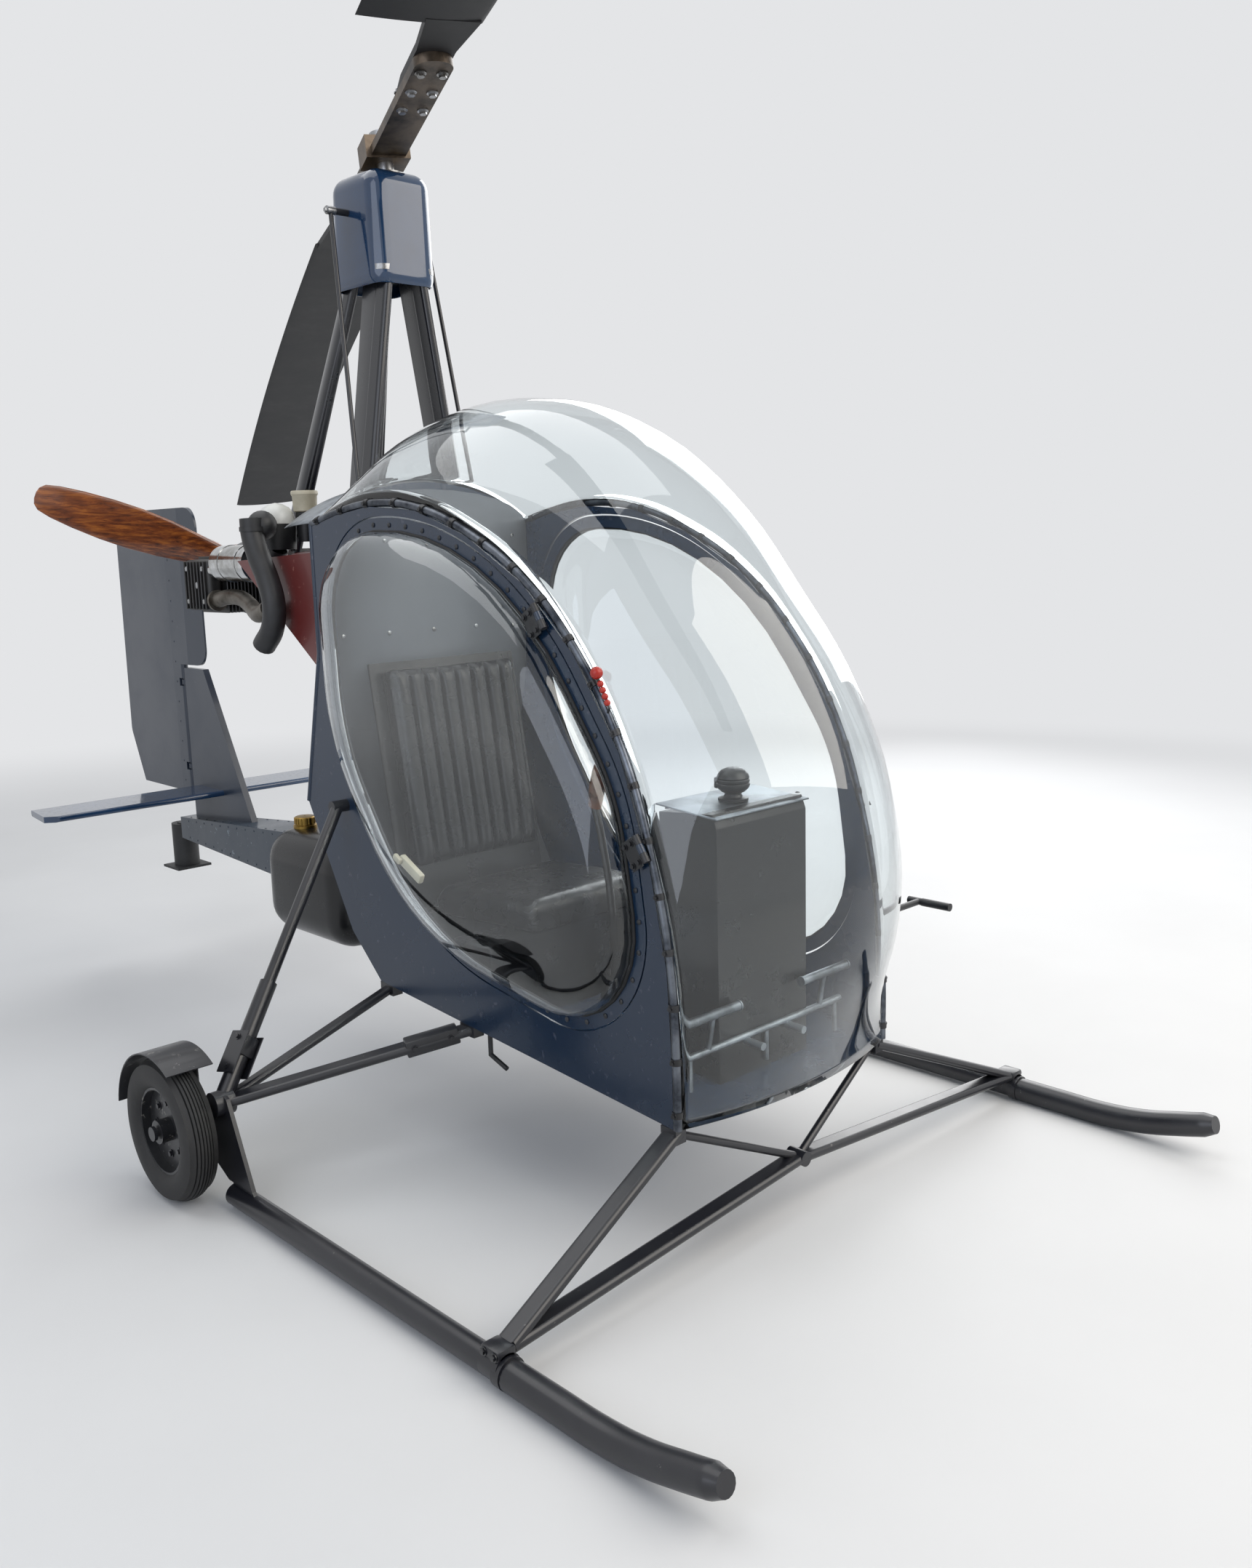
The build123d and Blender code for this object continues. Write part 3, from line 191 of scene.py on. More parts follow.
def enamel(name, base, worn, dust="#5F6064", roughness=0.22, chips=0.62):
    """Sprayed gloss paint on metal: even colour, faint orange peel, dust in broad patches, small chips."""
    material, tree, shader, place = new_material(name)
    # Orange peel is about 2 mm across; drawn at 6 mm so that it shows
    peel = add_node(tree, "ShaderNodeTexNoise", {"Scale": 160.0, "Detail": 2.0}, {"Vector": place})
    patches = add_node(tree, "ShaderNodeTexNoise", {"Scale": 3.2, "Detail": 6.0, "Roughness": 0.62},
                       {"Vector": place})
    # Chips are 2 mm to 20 mm across
    chipping = add_node(tree, "ShaderNodeTexNoise", {"Scale": 42.0, "Detail": 8.0, "Roughness": 0.7},
                        {"Vector": place})
    dull = add_node(tree, "ShaderNodeValToRGB", links={"Fac": patches.outputs["Fac"]},
                    stops=[(0.42, (0, 0, 0, 1)), (0.78, (1, 1, 1, 1))])
    chip = add_node(tree, "ShaderNodeValToRGB", links={"Fac": chipping.outputs["Fac"]},
                    stops=[(chips, (0, 0, 0, 1)), (chips + 0.03, (1, 1, 1, 1))])
    dusty = add_node(tree, "ShaderNodeMath", {1: 0.1}, {0: dull.outputs["Color"]}, operation="MULTIPLY")
    coat = add_node(tree, "ShaderNodeMix", {"A": colour(base), "B": colour(dust)},
                    {"Factor": dusty.outputs[0]}, data_type="RGBA")
    painted = add_node(tree, "ShaderNodeMix", {"B": colour(worn)},
                       {"Factor": chip.outputs["Color"], "A": coat.outputs["Result"]}, data_type="RGBA")
    tree.links.new(painted.outputs["Result"], shader.inputs["Base Color"])
    rough = add_node(tree, "ShaderNodeMapRange", {"To Min": roughness, "To Max": roughness + 0.22},
                     {"Value": dull.outputs["Color"]})
    tree.links.new(rough.outputs["Result"], shader.inputs["Roughness"])
    bump = add_node(tree, "ShaderNodeBump", {"Strength": 0.05, "Distance": 0.001},
                    {"Height": peel.outputs["Fac"]})
    tree.links.new(bump.outputs["Normal"], shader.inputs["Normal"])
    shader.inputs["Coat Weight"].default_value = 0.25
    shader.inputs["Coat Roughness"].default_value = 0.12
    return material


def gelcoat(name, base, painted_sheen="#3A4766", roughness=0.12):
    """Polished gelcoat over glass fibre: deep colour with broad patches of painted sheen, clear gloss, fine
    scratches that dull it.
    """
    material, tree, shader, place = new_material(name)
    # The scratches run level, about 14 mm long and 1.4 mm wide
    stretch = add_node(tree, "ShaderNodeMapping", {"Scale": (6.0, 6.0, 60.0)}, {"Vector": place})
    scratch = add_node(tree, "ShaderNodeTexNoise", {"Scale": 12.0, "Detail": 4.0},
                       {"Vector": stretch.outputs["Vector"]})
    # Painted sheen: broad noise patches lighten the base colour towards the sheen colour
    haze = add_node(tree, "ShaderNodeTexNoise", {"Scale": 4.0, "Detail": 5.0}, {"Vector": place})
    tint = add_node(tree, "ShaderNodeValToRGB", links={"Fac": haze.outputs["Fac"]},
                    stops=[(0.35, colour(base)), (0.85, colour(painted_sheen))])
    tree.links.new(tint.outputs["Color"], shader.inputs["Base Color"])
    rough = add_node(tree, "ShaderNodeMapRange",
                     {"From Min": 0.4, "From Max": 0.75, "To Min": roughness, "To Max": roughness + 0.2},
                     {"Value": scratch.outputs["Fac"]})
    tree.links.new(rough.outputs["Result"], shader.inputs["Roughness"])
    shader.inputs["Coat Weight"].default_value = 0.6
    shader.inputs["Coat Roughness"].default_value = 0.05
    return material


def clear_plastic(name, tint, roughness=0.0, clearness="#F2F5F6"):
    """Blown acrylic sheet: clear, glossy, with faint hairline scratches; lamps shine through it."""
    material, tree, shader, place = new_material(name)
    shader.inputs["Base Color"].default_value = colour(tint)
    shader.inputs["IOR"].default_value = 1.49
    shader.inputs["Transmission Weight"].default_value = 1.0
    # Polishing haze is a few centimetres across
    haze = add_node(tree, "ShaderNodeTexNoise", {"Scale": 22.0, "Detail": 7.0, "Roughness": 0.7},
                    {"Vector": place})
    rough = add_node(tree, "ShaderNodeMapRange",
                     {"From Min": 0.45, "From Max": 0.85, "To Min": roughness, "To Max": roughness + 0.03},
                     {"Value": haze.outputs["Fac"]})
    tree.links.new(rough.outputs["Result"], shader.inputs["Roughness"])
    light = add_node(tree, "ShaderNodeLightPath")
    passing = add_node(tree, "ShaderNodeBsdfTransparent", {"Color": colour(clearness)})
    both = add_node(tree, "ShaderNodeMixShader", links={
        0: light.outputs["Is Shadow Ray"], 1: shader.outputs["BSDF"], 2: passing.outputs["BSDF"]})
    tree.links.new(both.outputs["Shader"], tree.nodes["Material Output"].inputs["Surface"])
    return material


def bare_metal(name, base, roughness=0.35, stain="#3A3530", grain=180.0):
    """Machined or drawn metal: fine tool grain, thin brown stains in its low places."""
    material, tree, shader, place = new_material(name)
    shader.inputs["Metallic"].default_value = 1.0
    # Tool marks are under 1 mm; drawn at 5 mm to 14 mm so that they show
    fine = add_node(tree, "ShaderNodeTexNoise", {"Scale": grain, "Detail": 3.0}, {"Vector": place})
    broad = add_node(tree, "ShaderNodeTexNoise", {"Scale": 9.0, "Detail": 6.0, "Roughness": 0.65},
                     {"Vector": place})
    stained = add_node(tree, "ShaderNodeValToRGB", links={"Fac": broad.outputs["Fac"]},
                       stops=[(0.38, colour(stain)), (0.6, colour(base))])
    tree.links.new(stained.outputs["Color"], shader.inputs["Base Color"])
    rough = add_node(tree, "ShaderNodeMapRange", {"To Min": roughness - 0.1, "To Max": roughness + 0.15},
                     {"Value": broad.outputs["Fac"]})
    tree.links.new(rough.outputs["Result"], shader.inputs["Roughness"])
    bump = add_node(tree, "ShaderNodeBump", {"Strength": 0.12, "Distance": 0.0006},
                    {"Height": fine.outputs["Fac"]})
    tree.links.new(bump.outputs["Normal"], shader.inputs["Normal"])
    return material


def moulded(name, base, roughness=0.5, grain=420.0, worn=None, strength=0.2):
    """Moulded plastic or rubber: matt, with a fine moulded grain and paler rubbed places."""
    material, tree, shader, place = new_material(name)
    # The grain is about 0.5 mm; drawn at 2 mm to 6 mm so that it shows
    fine = add_node(tree, "ShaderNodeTexNoise", {"Scale": grain, "Detail": 2.0}, {"Vector": place})
    broad = add_node(tree, "ShaderNodeTexNoise", {"Scale": 7.0, "Detail": 7.0, "Roughness": 0.7},
                     {"Vector": place})
    shade = add_node(tree, "ShaderNodeValToRGB", links={"Fac": broad.outputs["Fac"]},
                     stops=[(0.45, colour(base)), (0.85, colour(worn or base))])
    tree.links.new(shade.outputs["Color"], shader.inputs["Base Color"])
    rough = add_node(tree, "ShaderNodeMapRange", {"To Min": roughness - 0.08, "To Max": roughness + 0.18},
                     {"Value": broad.outputs["Fac"]})
    tree.links.new(rough.outputs["Result"], shader.inputs["Roughness"])
    bump = add_node(tree, "ShaderNodeBump", {"Strength": strength, "Distance": 0.0008},
                    {"Height": fine.outputs["Fac"]})
    tree.links.new(bump.outputs["Normal"], shader.inputs["Normal"])
    return material


def leather(name, base, crease_shade="#050506"):
    """Vinyl-coated leather: pebbled grain about 1.5 mm across, drawn at 4 mm, creased with painted shade in
    the creases, and a little shiny.
    """
    material, tree, shader, place = new_material(name)
    pebble = add_node(tree, "ShaderNodeTexVoronoi", {"Scale": 260.0}, {"Vector": place},
                      feature="SMOOTH_F1")
    creases = add_node(tree, "ShaderNodeTexNoise", {"Scale": 16.0, "Detail": 6.0, "Distortion": 0.6},
                       {"Vector": place})
    # Painted shade: the colour darkens to the crease shade colour where the large creases dip
    shade = add_node(tree, "ShaderNodeValToRGB", links={"Fac": creases.outputs["Fac"]},
                     stops=[(0.35, colour(crease_shade)), (0.6, colour(base))])
    tree.links.new(shade.outputs["Color"], shader.inputs["Base Color"])
    rough = add_node(tree, "ShaderNodeMapRange", {"To Min": 0.2, "To Max": 0.36},
                     {"Value": creases.outputs["Fac"]})
    tree.links.new(rough.outputs["Result"], shader.inputs["Roughness"])
    small = add_node(tree, "ShaderNodeBump", {"Strength": 0.25, "Distance": 0.0006},
                     {"Height": pebble.outputs["Distance"]})
    large = add_node(tree, "ShaderNodeBump", {"Strength": 0.2, "Distance": 0.004},
                     {"Height": creases.outputs["Fac"], "Normal": small.outputs["Normal"]})
    tree.links.new(large.outputs["Normal"], shader.inputs["Normal"])
    return material


def varnished_wood(name, base, grain_line="#2A1208", pale="#B9712F", glue_line="#5A2A12"):
    """Laminated hardwood under varnish: long dark grain across 6 mm laminations, clear gloss coat."""
    material, tree, shader, place = new_material(name)
    # The grain runs along the blade; its lines are about 10 mm apart
    stretched = add_node(tree, "ShaderNodeMapping",
                         {"Rotation": (0, PROPELLER_TILT, 0), "Scale": (1.4, 34.0, 34.0)}, {"Vector": place})
    lines = add_node(tree, "ShaderNodeTexNoise",
                     {"Scale": 3.0, "Detail": 9.0, "Roughness": 0.7, "Distortion": 0.4},
                     {"Vector": stretched.outputs["Vector"]})
    layers = add_node(tree, "ShaderNodeTexWave", {"Scale": 26.0, "Distortion": 1.6, "Detail": 3.0},
                      {"Vector": place}, bands_direction="Y")
    grain = add_node(tree, "ShaderNodeValToRGB", links={"Fac": lines.outputs["Fac"]},
                     stops=[(0.36, colour(grain_line)), (0.5, colour(base)), (0.72, colour(pale))])
    band = add_node(tree, "ShaderNodeMath", {1: 0.35}, {0: layers.outputs["Fac"]}, operation="MULTIPLY")
    shade = add_node(tree, "ShaderNodeMix", {"B": colour(glue_line)},
                     {"Factor": band.outputs[0], "A": grain.outputs["Color"]}, data_type="RGBA")
    tree.links.new(shade.outputs["Result"], shader.inputs["Base Color"])
    shader.inputs["Roughness"].default_value = 0.34
    shader.inputs["Coat Weight"].default_value = 0.8
    shader.inputs["Coat Roughness"].default_value = 0.08
    bump = add_node(tree, "ShaderNodeBump", {"Strength": 0.12, "Distance": 0.0005},
                    {"Height": lines.outputs["Fac"]})
    tree.links.new(bump.outputs["Normal"], shader.inputs["Normal"])
    return material


finishes = {}
# The record's slot of each finish that isn't named as one
SLOT_OF_FINISH = {
    "tail_blue": "navy_shell", "stabiliser_blue": "navy_shell", "cover_gloss": "navy_shell",
    "pale_fitting": "black_fitting", "cylinder_black": "engine_alloy", "lining": "navy_panel",
    "brass": "head_steel", "chrome": "head_steel", "brown_leather": "seat_cover", "seal": "bumper_rubber",
    "hose_black": "bumper_rubber", "red_plastic": None, "pale_plastic": None, "white_dome": None,
    "dial": "black_fitting",
}
# CAD pieces whose finish differs from their slot's
FINISH_OF_NODE = {
    "rudder": "tail_blue", "fin": "tail_blue", "stabiliser": "stabiliser_blue", "head_cover": "cover_gloss",
    "cylinder_stbd": "cylinder_black", "cylinder_port": "cylinder_black", "pedals": "pale_fitting",
    "air_intakes": "chrome", "control_rods": "strut_steel", "hinge_pins": "black_fitting",
}


def make_finishes(scene):
    """Fills the table of finishes and gives each CAD piece its own."""
    cabin, seat, gear = scene.autogyro_cabin, scene.autogyro_seat, scene.autogyro_gear
    engine, rotor = scene.autogyro_engine, scene.autogyro_rotor
    finishes.update({
        "navy_panel": enamel("navy enamel on sheet", cabin.paint_colour, "#3B4150"),
        "navy_shell": gelcoat("navy gelcoat", "#12233A", "#233B5C"),
        "tail_blue": enamel("slate blue enamel", "#1C2838", "#5E6A7A", roughness=0.3, chips=0.69),
        "stabiliser_blue": gelcoat("bright navy gelcoat", "#16304E", "#2B4E76", 0.08),
        "clear_window": clear_plastic("blown acrylic", cabin.glass_colour),
        "bare_tube": bare_metal("drawn aluminium tube", "#6E737B", 0.3, "#2C3038"),
        "boom_skin": enamel("slate enamel on boom", "#22303E", "#66747F", roughness=0.34),
        "gear_paint": enamel("black enamel on gear", gear.gear_colour, "#5C5A58", roughness=0.3, chips=0.66),
        "strut_steel": enamel("black enamel on strut", "#14151A", "#63605C", roughness=0.28, chips=0.66),
        "tyre_rubber": moulded("tyre rubber", gear.rubber_colour, 0.62, 300.0, "#3B3A38"),
        "wheel_rim": enamel("black enamel on rim", "#1A1B1E", "#77756F", roughness=0.35, chips=0.6),
        "guard_grey": enamel("dark grey enamel on guard", "#232428", "#5E5E5C", roughness=0.42, chips=0.6),
        "seat_cover": leather("black leather", seat.leather_colour),
        "black_shell": moulded("black moulded shell", "#07080A", 0.2, 160.0, "#101216", 0.02),
        "black_fitting": moulded("black anodised fitting", "#17181B", 0.35, 300.0, "#3C3D40", 0.1),
        "pale_fitting": bare_metal("grey anodised tube", "#9AA0A6", 0.4, "#5E6368"),
        "bumper_rubber": moulded("black roller rubber", "#18191B", 0.5, 260.0, "#333436"),
        "engine_alloy": bare_metal("cast engine alloy", engine.alloy_colour, 0.45, "#3B3833", 90.0),
        "cylinder_black": moulded("black stove enamel", "#17181A", 0.4, 200.0, "#33302C", 0.1),
        "exhaust_steel": bare_metal("heat-stained steel", "#77736C", 0.42, "#3A322A", 70.0),
        "hose_black": moulded("black ribbed hose", "#151618", 0.42, 240.0, "#2B2C30", 0.1),
        "white_dome": moulded("white moulded plastic", "#D9DAD6", 0.25, 200.0, "#B9BAB4", 0.04),
        "dial": moulded("black instrument case", "#101113", 0.3, 200.0, "#25272B", 0.05),
        "mount_red": enamel("dark red enamel", "#5A1512", "#8A5A50", roughness=0.35),
        "mast_paint": enamel("black enamel on mast", "#0F1118", "#55575E", roughness=0.25, chips=0.68),
        "head_steel": bare_metal("bright steel", "#A5A7AA", 0.25, "#6B6863"),
        "bar_alloy": bare_metal("etched brown alloy", "#6A5F54", 0.42, "#2B2622"),
        "blade_skin": moulded("matt black paint on blade", rotor.blade_colour, 0.55, 160.0, "#1C1E22", 0.01),
        "prop_wood": varnished_wood("varnished laminated wood", engine.wood_colour),
        "lining": enamel("grey paint on rear wall", cabin.lining_colour, "#7A7E84", roughness=0.5, chips=0.8),
        "cover_gloss": gelcoat("dark blue gelcoat", rotor.cover_colour, "#1F4064", 0.06),
        "brass": bare_metal("lacquered brass", "#A98B4A", 0.35, "#5E4A22"),
        "chrome": bare_metal("polished bearing steel", "#D5D7D9", 0.14, "#9B9B98"),
        "brown_leather": leather("brown leather", "#5A3622", "#24140C"),
        "seal": moulded("black rubber seal", "#0D0D0E", 0.55),
        "red_plastic": moulded("red plastic", "#A32014", 0.3, 300.0, "#B8442F", 0.05),
        "pale_plastic": moulded("ivory plastic", "#B9B29E", 0.4, 300.0, "#8F8975", 0.05),
    })
    slot_of = {entry["node"]: entry["material_slot"] for entry in frame["record"]["subparts"]}
    for name, node in frame["nodes"].items():
        finish = FINISH_OF_NODE.get(name) or slot_of.get(name)
        if finish not in finishes:
            raise RuntimeError(f"no finish for {name}: {finish}")
        for slot in node.material_slots:
            slot.material = finishes[finish]
        if not node.material_slots:
            node.data.materials.append(finishes[finish])


# Shapes

def piece(name, shape, body, finish, slot=None, smooth=35):
    """A bmesh becomes a finished piece that rides on a body."""
    mesh = bpy.data.meshes.new(name)
    shape.to_mesh(mesh)
    shape.free()
    return from_mesh(name, mesh, body, finish, slot, smooth)


def from_mesh(name, mesh, body, finish, slot=None, smooth=35):
    """A mesh becomes a finished piece that rides on a body, shaded smooth below an angle in degrees."""
    made = bpy.data.objects.new(name, mesh)
    bpy.context.scene.collection.objects.link(made)
    mesh.materials.clear()
    mesh.materials.append(finishes[finish])
    if smooth:
        mesh.shade_smooth()
        mesh.set_sharp_from_angle(angle=math.radians(smooth))
    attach(made, body)
    slot = slot or SLOT_OF_FINISH.get(finish, finish)
    return made


def add_modifier(made, kind, **settings):
    """Adds a modifier with its settings."""
    modifier = made.modifiers.new(kind.title(), kind)
    for name, value in settings.items():
        setattr(modifier, name, value)


def settle(made):
    """Applies a piece's modifiers to its mesh."""
    bpy.context.view_layer.update()
    evaluated = made.evaluated_get(bpy.context.evaluated_depsgraph_get())
    mesh = bpy.data.meshes.new_from_object(evaluated)
    made.modifiers.clear()
    old = made.data
    made.data = mesh
    bpy.data.meshes.remove(old)


def thicken(made, thickness, offset=-1):
    """Gives a skin its wall, inwards unless the offset says otherwise."""
    add_modifier(made, "SOLIDIFY", thickness=thickness, offset=offset)
    settle(made)


def turned_to(x, y, z):
    """Turn whose X, Y and Z axes are the given ones."""
    return Matrix((x, y, z)).transposed().to_4x4()


def aimed(start, way, side=None):
    """Matrix whose Z axis points along a way, and whose X axis is as near to side as it can be."""
    z = Vector(way).normalized()
    x = Vector(side) if side else PORT if abs(z.x) < 0.9 else AFT
    x = (x - z * x.dot(z)).normalized()
    return Matrix.Translation(start) @ turned_to(x, z.cross(x), z)


def add_bar(shape, start, end, radius, segments=16, end_radius=None):
    """Round bar between two points."""
    start, end = Vector(start), Vector(end)
    bmesh.ops.create_cone(
        shape, cap_ends=True, segments=segments, radius1=radius,
        radius2=radius if end_radius is None else end_radius,
        depth=(end - start).length, matrix=aimed((start + end) / 2, end - start))


def add_bolt(shape, spot, way, radius=0.006, height=0.005, segments=6):
    """Hexagon head on a washer, standing on a surface."""
    spot, way = Vector(spot), Vector(way).normalized()
    add_bar(shape, spot, spot + way * height * 0.25, radius * 1.5, 14)
    add_bar(shape, spot, spot + way * height, radius, segments)


def add_screw(shape, spot, way, radius=0.005, height=0.0022):
    """Low domed screw head, standing on a surface."""
    spot, way = Vector(spot), Vector(way).normalized()
    add_bar(shape, spot - way * height * 0.3, spot + way * height * 0.5, radius, 12)
    add_bar(shape, spot + way * height * 0.5, spot + way * height, radius, 12, radius * 0.55)


def add_box(shape, middle, size, turn=None, bevel=0.0, segments=2):
    """Box with rounded edges."""
    place = Matrix.Translation(Vector(middle)) @ (turn or Matrix.Identity(4))
    made = bmesh.ops.create_cube(shape, size=1, matrix=place @ Matrix.Diagonal((*size, 1)))["verts"]
    if bevel:
        edges = list(dict.fromkeys(edge for vert in made for edge in vert.link_edges))
        bmesh.ops.bevel(shape, geom=edges, offset=bevel, affect="EDGES", segments=segments, profile=0.5,
                        material=-1)


def add_lathe(shape, profile, centre, axis, side, steps=64):
    """Ring spun round an axis from a closed profile of (along the axis, radius)."""
    centre, axis, side = Vector(centre), Vector(axis).normalized(), Vector(side).normalized()
    corners = [shape.verts.new(centre + axis * ahead + side * radius) for ahead, radius in profile]
    edges = [shape.edges.new(ends) for ends in zip(corners, corners[1:] + corners[:1])]
    bmesh.ops.spin(shape, geom=corners + edges, cent=centre, axis=axis, dvec=(0, 0, 0), angle=math.tau,
                   steps=steps, use_merge=True, use_duplicate=False)
    face_outwards(shape)


def face_outwards(shape):
    """Turns every face of a shape outwards."""
    bmesh.ops.recalc_face_normals(shape, faces=shape.faces)


def close_ends(shape):
    """Closes each open end of a shape with a face."""
    bmesh.ops.holes_fill(shape, edges=[edge for edge in shape.edges if edge.is_boundary], sides=0)


def cut_off(shape, spot, out):
    """Cuts away what lies beyond a plane, and gives the edges of the cut."""
    everything = list(shape.verts) + list(shape.edges) + list(shape.faces)
    cut = bmesh.ops.bisect_plane(shape, geom=everything, plane_co=spot, plane_no=out, clear_outer=True)
    return [edge for edge in cut["geom_cut"] if isinstance(edge, bmesh.types.BMEdge)]


def ball_profile(radius, step, core):
    """Profile of a ball, from pole to pole in steps of some degrees, closed at the poles to a core."""
    turns = [math.radians(turn) for turn in range(-90, 91, step)]
    return [(math.sin(turn) * radius, max(math.cos(turn) * radius, core)) for turn in turns]


def streamlined(share):
    """Half thickness of a streamlined section at a share of its chord."""
    return 2.6 * (share ** 0.5 * 0.32 - share * 0.16 - share ** 2 * 0.16)


def add_grid(shape, columns, rows, place, closed=False):
    """Grid whose points go where place(across, along) says, both from 0 to 1."""
    made = bmesh.ops.create_grid(shape, x_segments=columns, y_segments=rows, size=0.5)["verts"]
    for vert in made:
        vert.co = place(vert.co.x + 0.5, vert.co.y + 0.5)
    if closed:
        bmesh.ops.remove_doubles(shape, verts=made, dist=1e-5)


def swept(points, radius, resolution=8, sides=16, smooth=True, radii=None):
    """Mesh of a round tube along a smooth line through points."""
    curve = bpy.data.curves.new("line", "CURVE")
    curve.dimensions = "3D"
    curve.bevel_depth = radius
    curve.bevel_resolution = sides // 4
    curve.resolution_u = resolution
    curve.use_fill_caps = True
    spline = curve.splines.new("BEZIER" if smooth else "POLY")
    if smooth:
        spline.bezier_points.add(len(points) - 1)
        for knot, point in zip(spline.bezier_points, points):
            knot.co = point
            knot.handle_left_type = knot.handle_right_type = "AUTO"
    else:
        spline.points.add(len(points) - 1)
        for knot, point in zip(spline.points, points):
            knot.co = (*point, 1)
    if radii:
        for knot, share in zip(spline.bezier_points if smooth else spline.points, radii):
            knot.radius = share
    holder = bpy.data.objects.new("line", curve)
    bpy.context.scene.collection.objects.link(holder)
    bpy.context.view_layer.update()
    mesh = bpy.data.meshes.new_from_object(holder.evaluated_get(bpy.context.evaluated_depsgraph_get()))
    bpy.data.objects.remove(holder)
    bpy.data.curves.remove(curve)
    return mesh


def add_tube(shape, points, radius, resolution, sides, radii=None):
    """Round tube along a smooth line through points, joined to a shape."""
    mesh = swept(points, radius, resolution, sides, radii=radii)
    shape.from_mesh(mesh)
    bpy.data.meshes.remove(mesh)


def smooth_line(points, resolution=6):
    """Points along a smooth line through the given ones."""
    mesh = swept(points, 0.0, resolution)
    line = [vert.co.copy() for vert in mesh.vertices]
    bpy.data.meshes.remove(mesh)
    return line


def along(line, share):
    """Point at a share of a line's length, and the way it runs there."""
    steps = [(b - a).length for a, b in zip(line, line[1:])]
    left = share * sum(steps)
    for start, end, step in zip(line, line[1:], steps):
        if left <= step or end is line[-1]:
            return start + (end - start) * min(left / step, 1), (end - start).normalized()
        left -= step


def length_of(line):
    """Length of a line of points."""
    return sum((b - a).length for a, b in zip(line, line[1:]))


# Cabin outlines: canopy rail as (y, z), and how far the canopy's middle stands out from it
RAIL = [
    (-0.1, 1.56), (-0.22, 1.585), (-0.365, 1.602), (-0.56, 1.586), (-0.75, 1.524), (-0.94, 1.42),
    (-1.1, 1.272), (-1.23, 1.075), (-1.31, 0.85), (-1.352, 0.64), (-1.362, 0.44), (-1.362, 0.3),
]
RISE = [0.104, 0.168, 0.215, 0.25, 0.268, 0.25, 0.225, 0.24, 0.245, 0.205, 0.11, 0.045]
# The canopy glass stands on the rail's outside, not on its middle
RAIL_STEP = 0.0094
# Rearmost corner of the cabin side in side view
REAR_BULGE = (0.0, 0.83)
# Door window outline: each corner's y and z and the radius that rounds it
WINDOW = [
    (-0.18, 1.53, 0.205), (-0.197, 1.008, 0.53), (-0.5, 0.556, 0.64),
    (-1.296, 0.432, 0.228), (-1.219, 0.981, 0.48), (-0.828, 1.544, 0.8),
]


def window_line(steps=9):
    """Rounded outline of the door window as (point, inward way) pairs in side view."""
    corners = [Vector((y, z)) for y, z, radius in WINDOW]
    line = []
    for place, corner in enumerate(corners):
        radius = WINDOW[place][2]
        back = (corners[place - 1] - corner).normalized()
        on = (corners[(place + 1) % len(corners)] - corner).normalized()
        half = back.angle(on) / 2
        centre = corner + (back + on).normalized() * (radius / math.sin(half))
        start = corner + back * (radius / math.tan(half)) - centre
        end = corner + on * (radius / math.tan(half)) - centre
        turn = start.angle_signed(end)
        for step in range(steps):
            arm = start.copy()
            arm.rotate(Matrix.Rotation(-turn * step / (steps - 1), 2))
            line.append((centre + arm, -arm.normalized()))
    return line


def window_path(grow, x):
    """The door window's outline on a plane of one x, grown outwards."""
    return [Vector((x, *(point - inward * grow))) for point, inward in window_line()]


# Operators

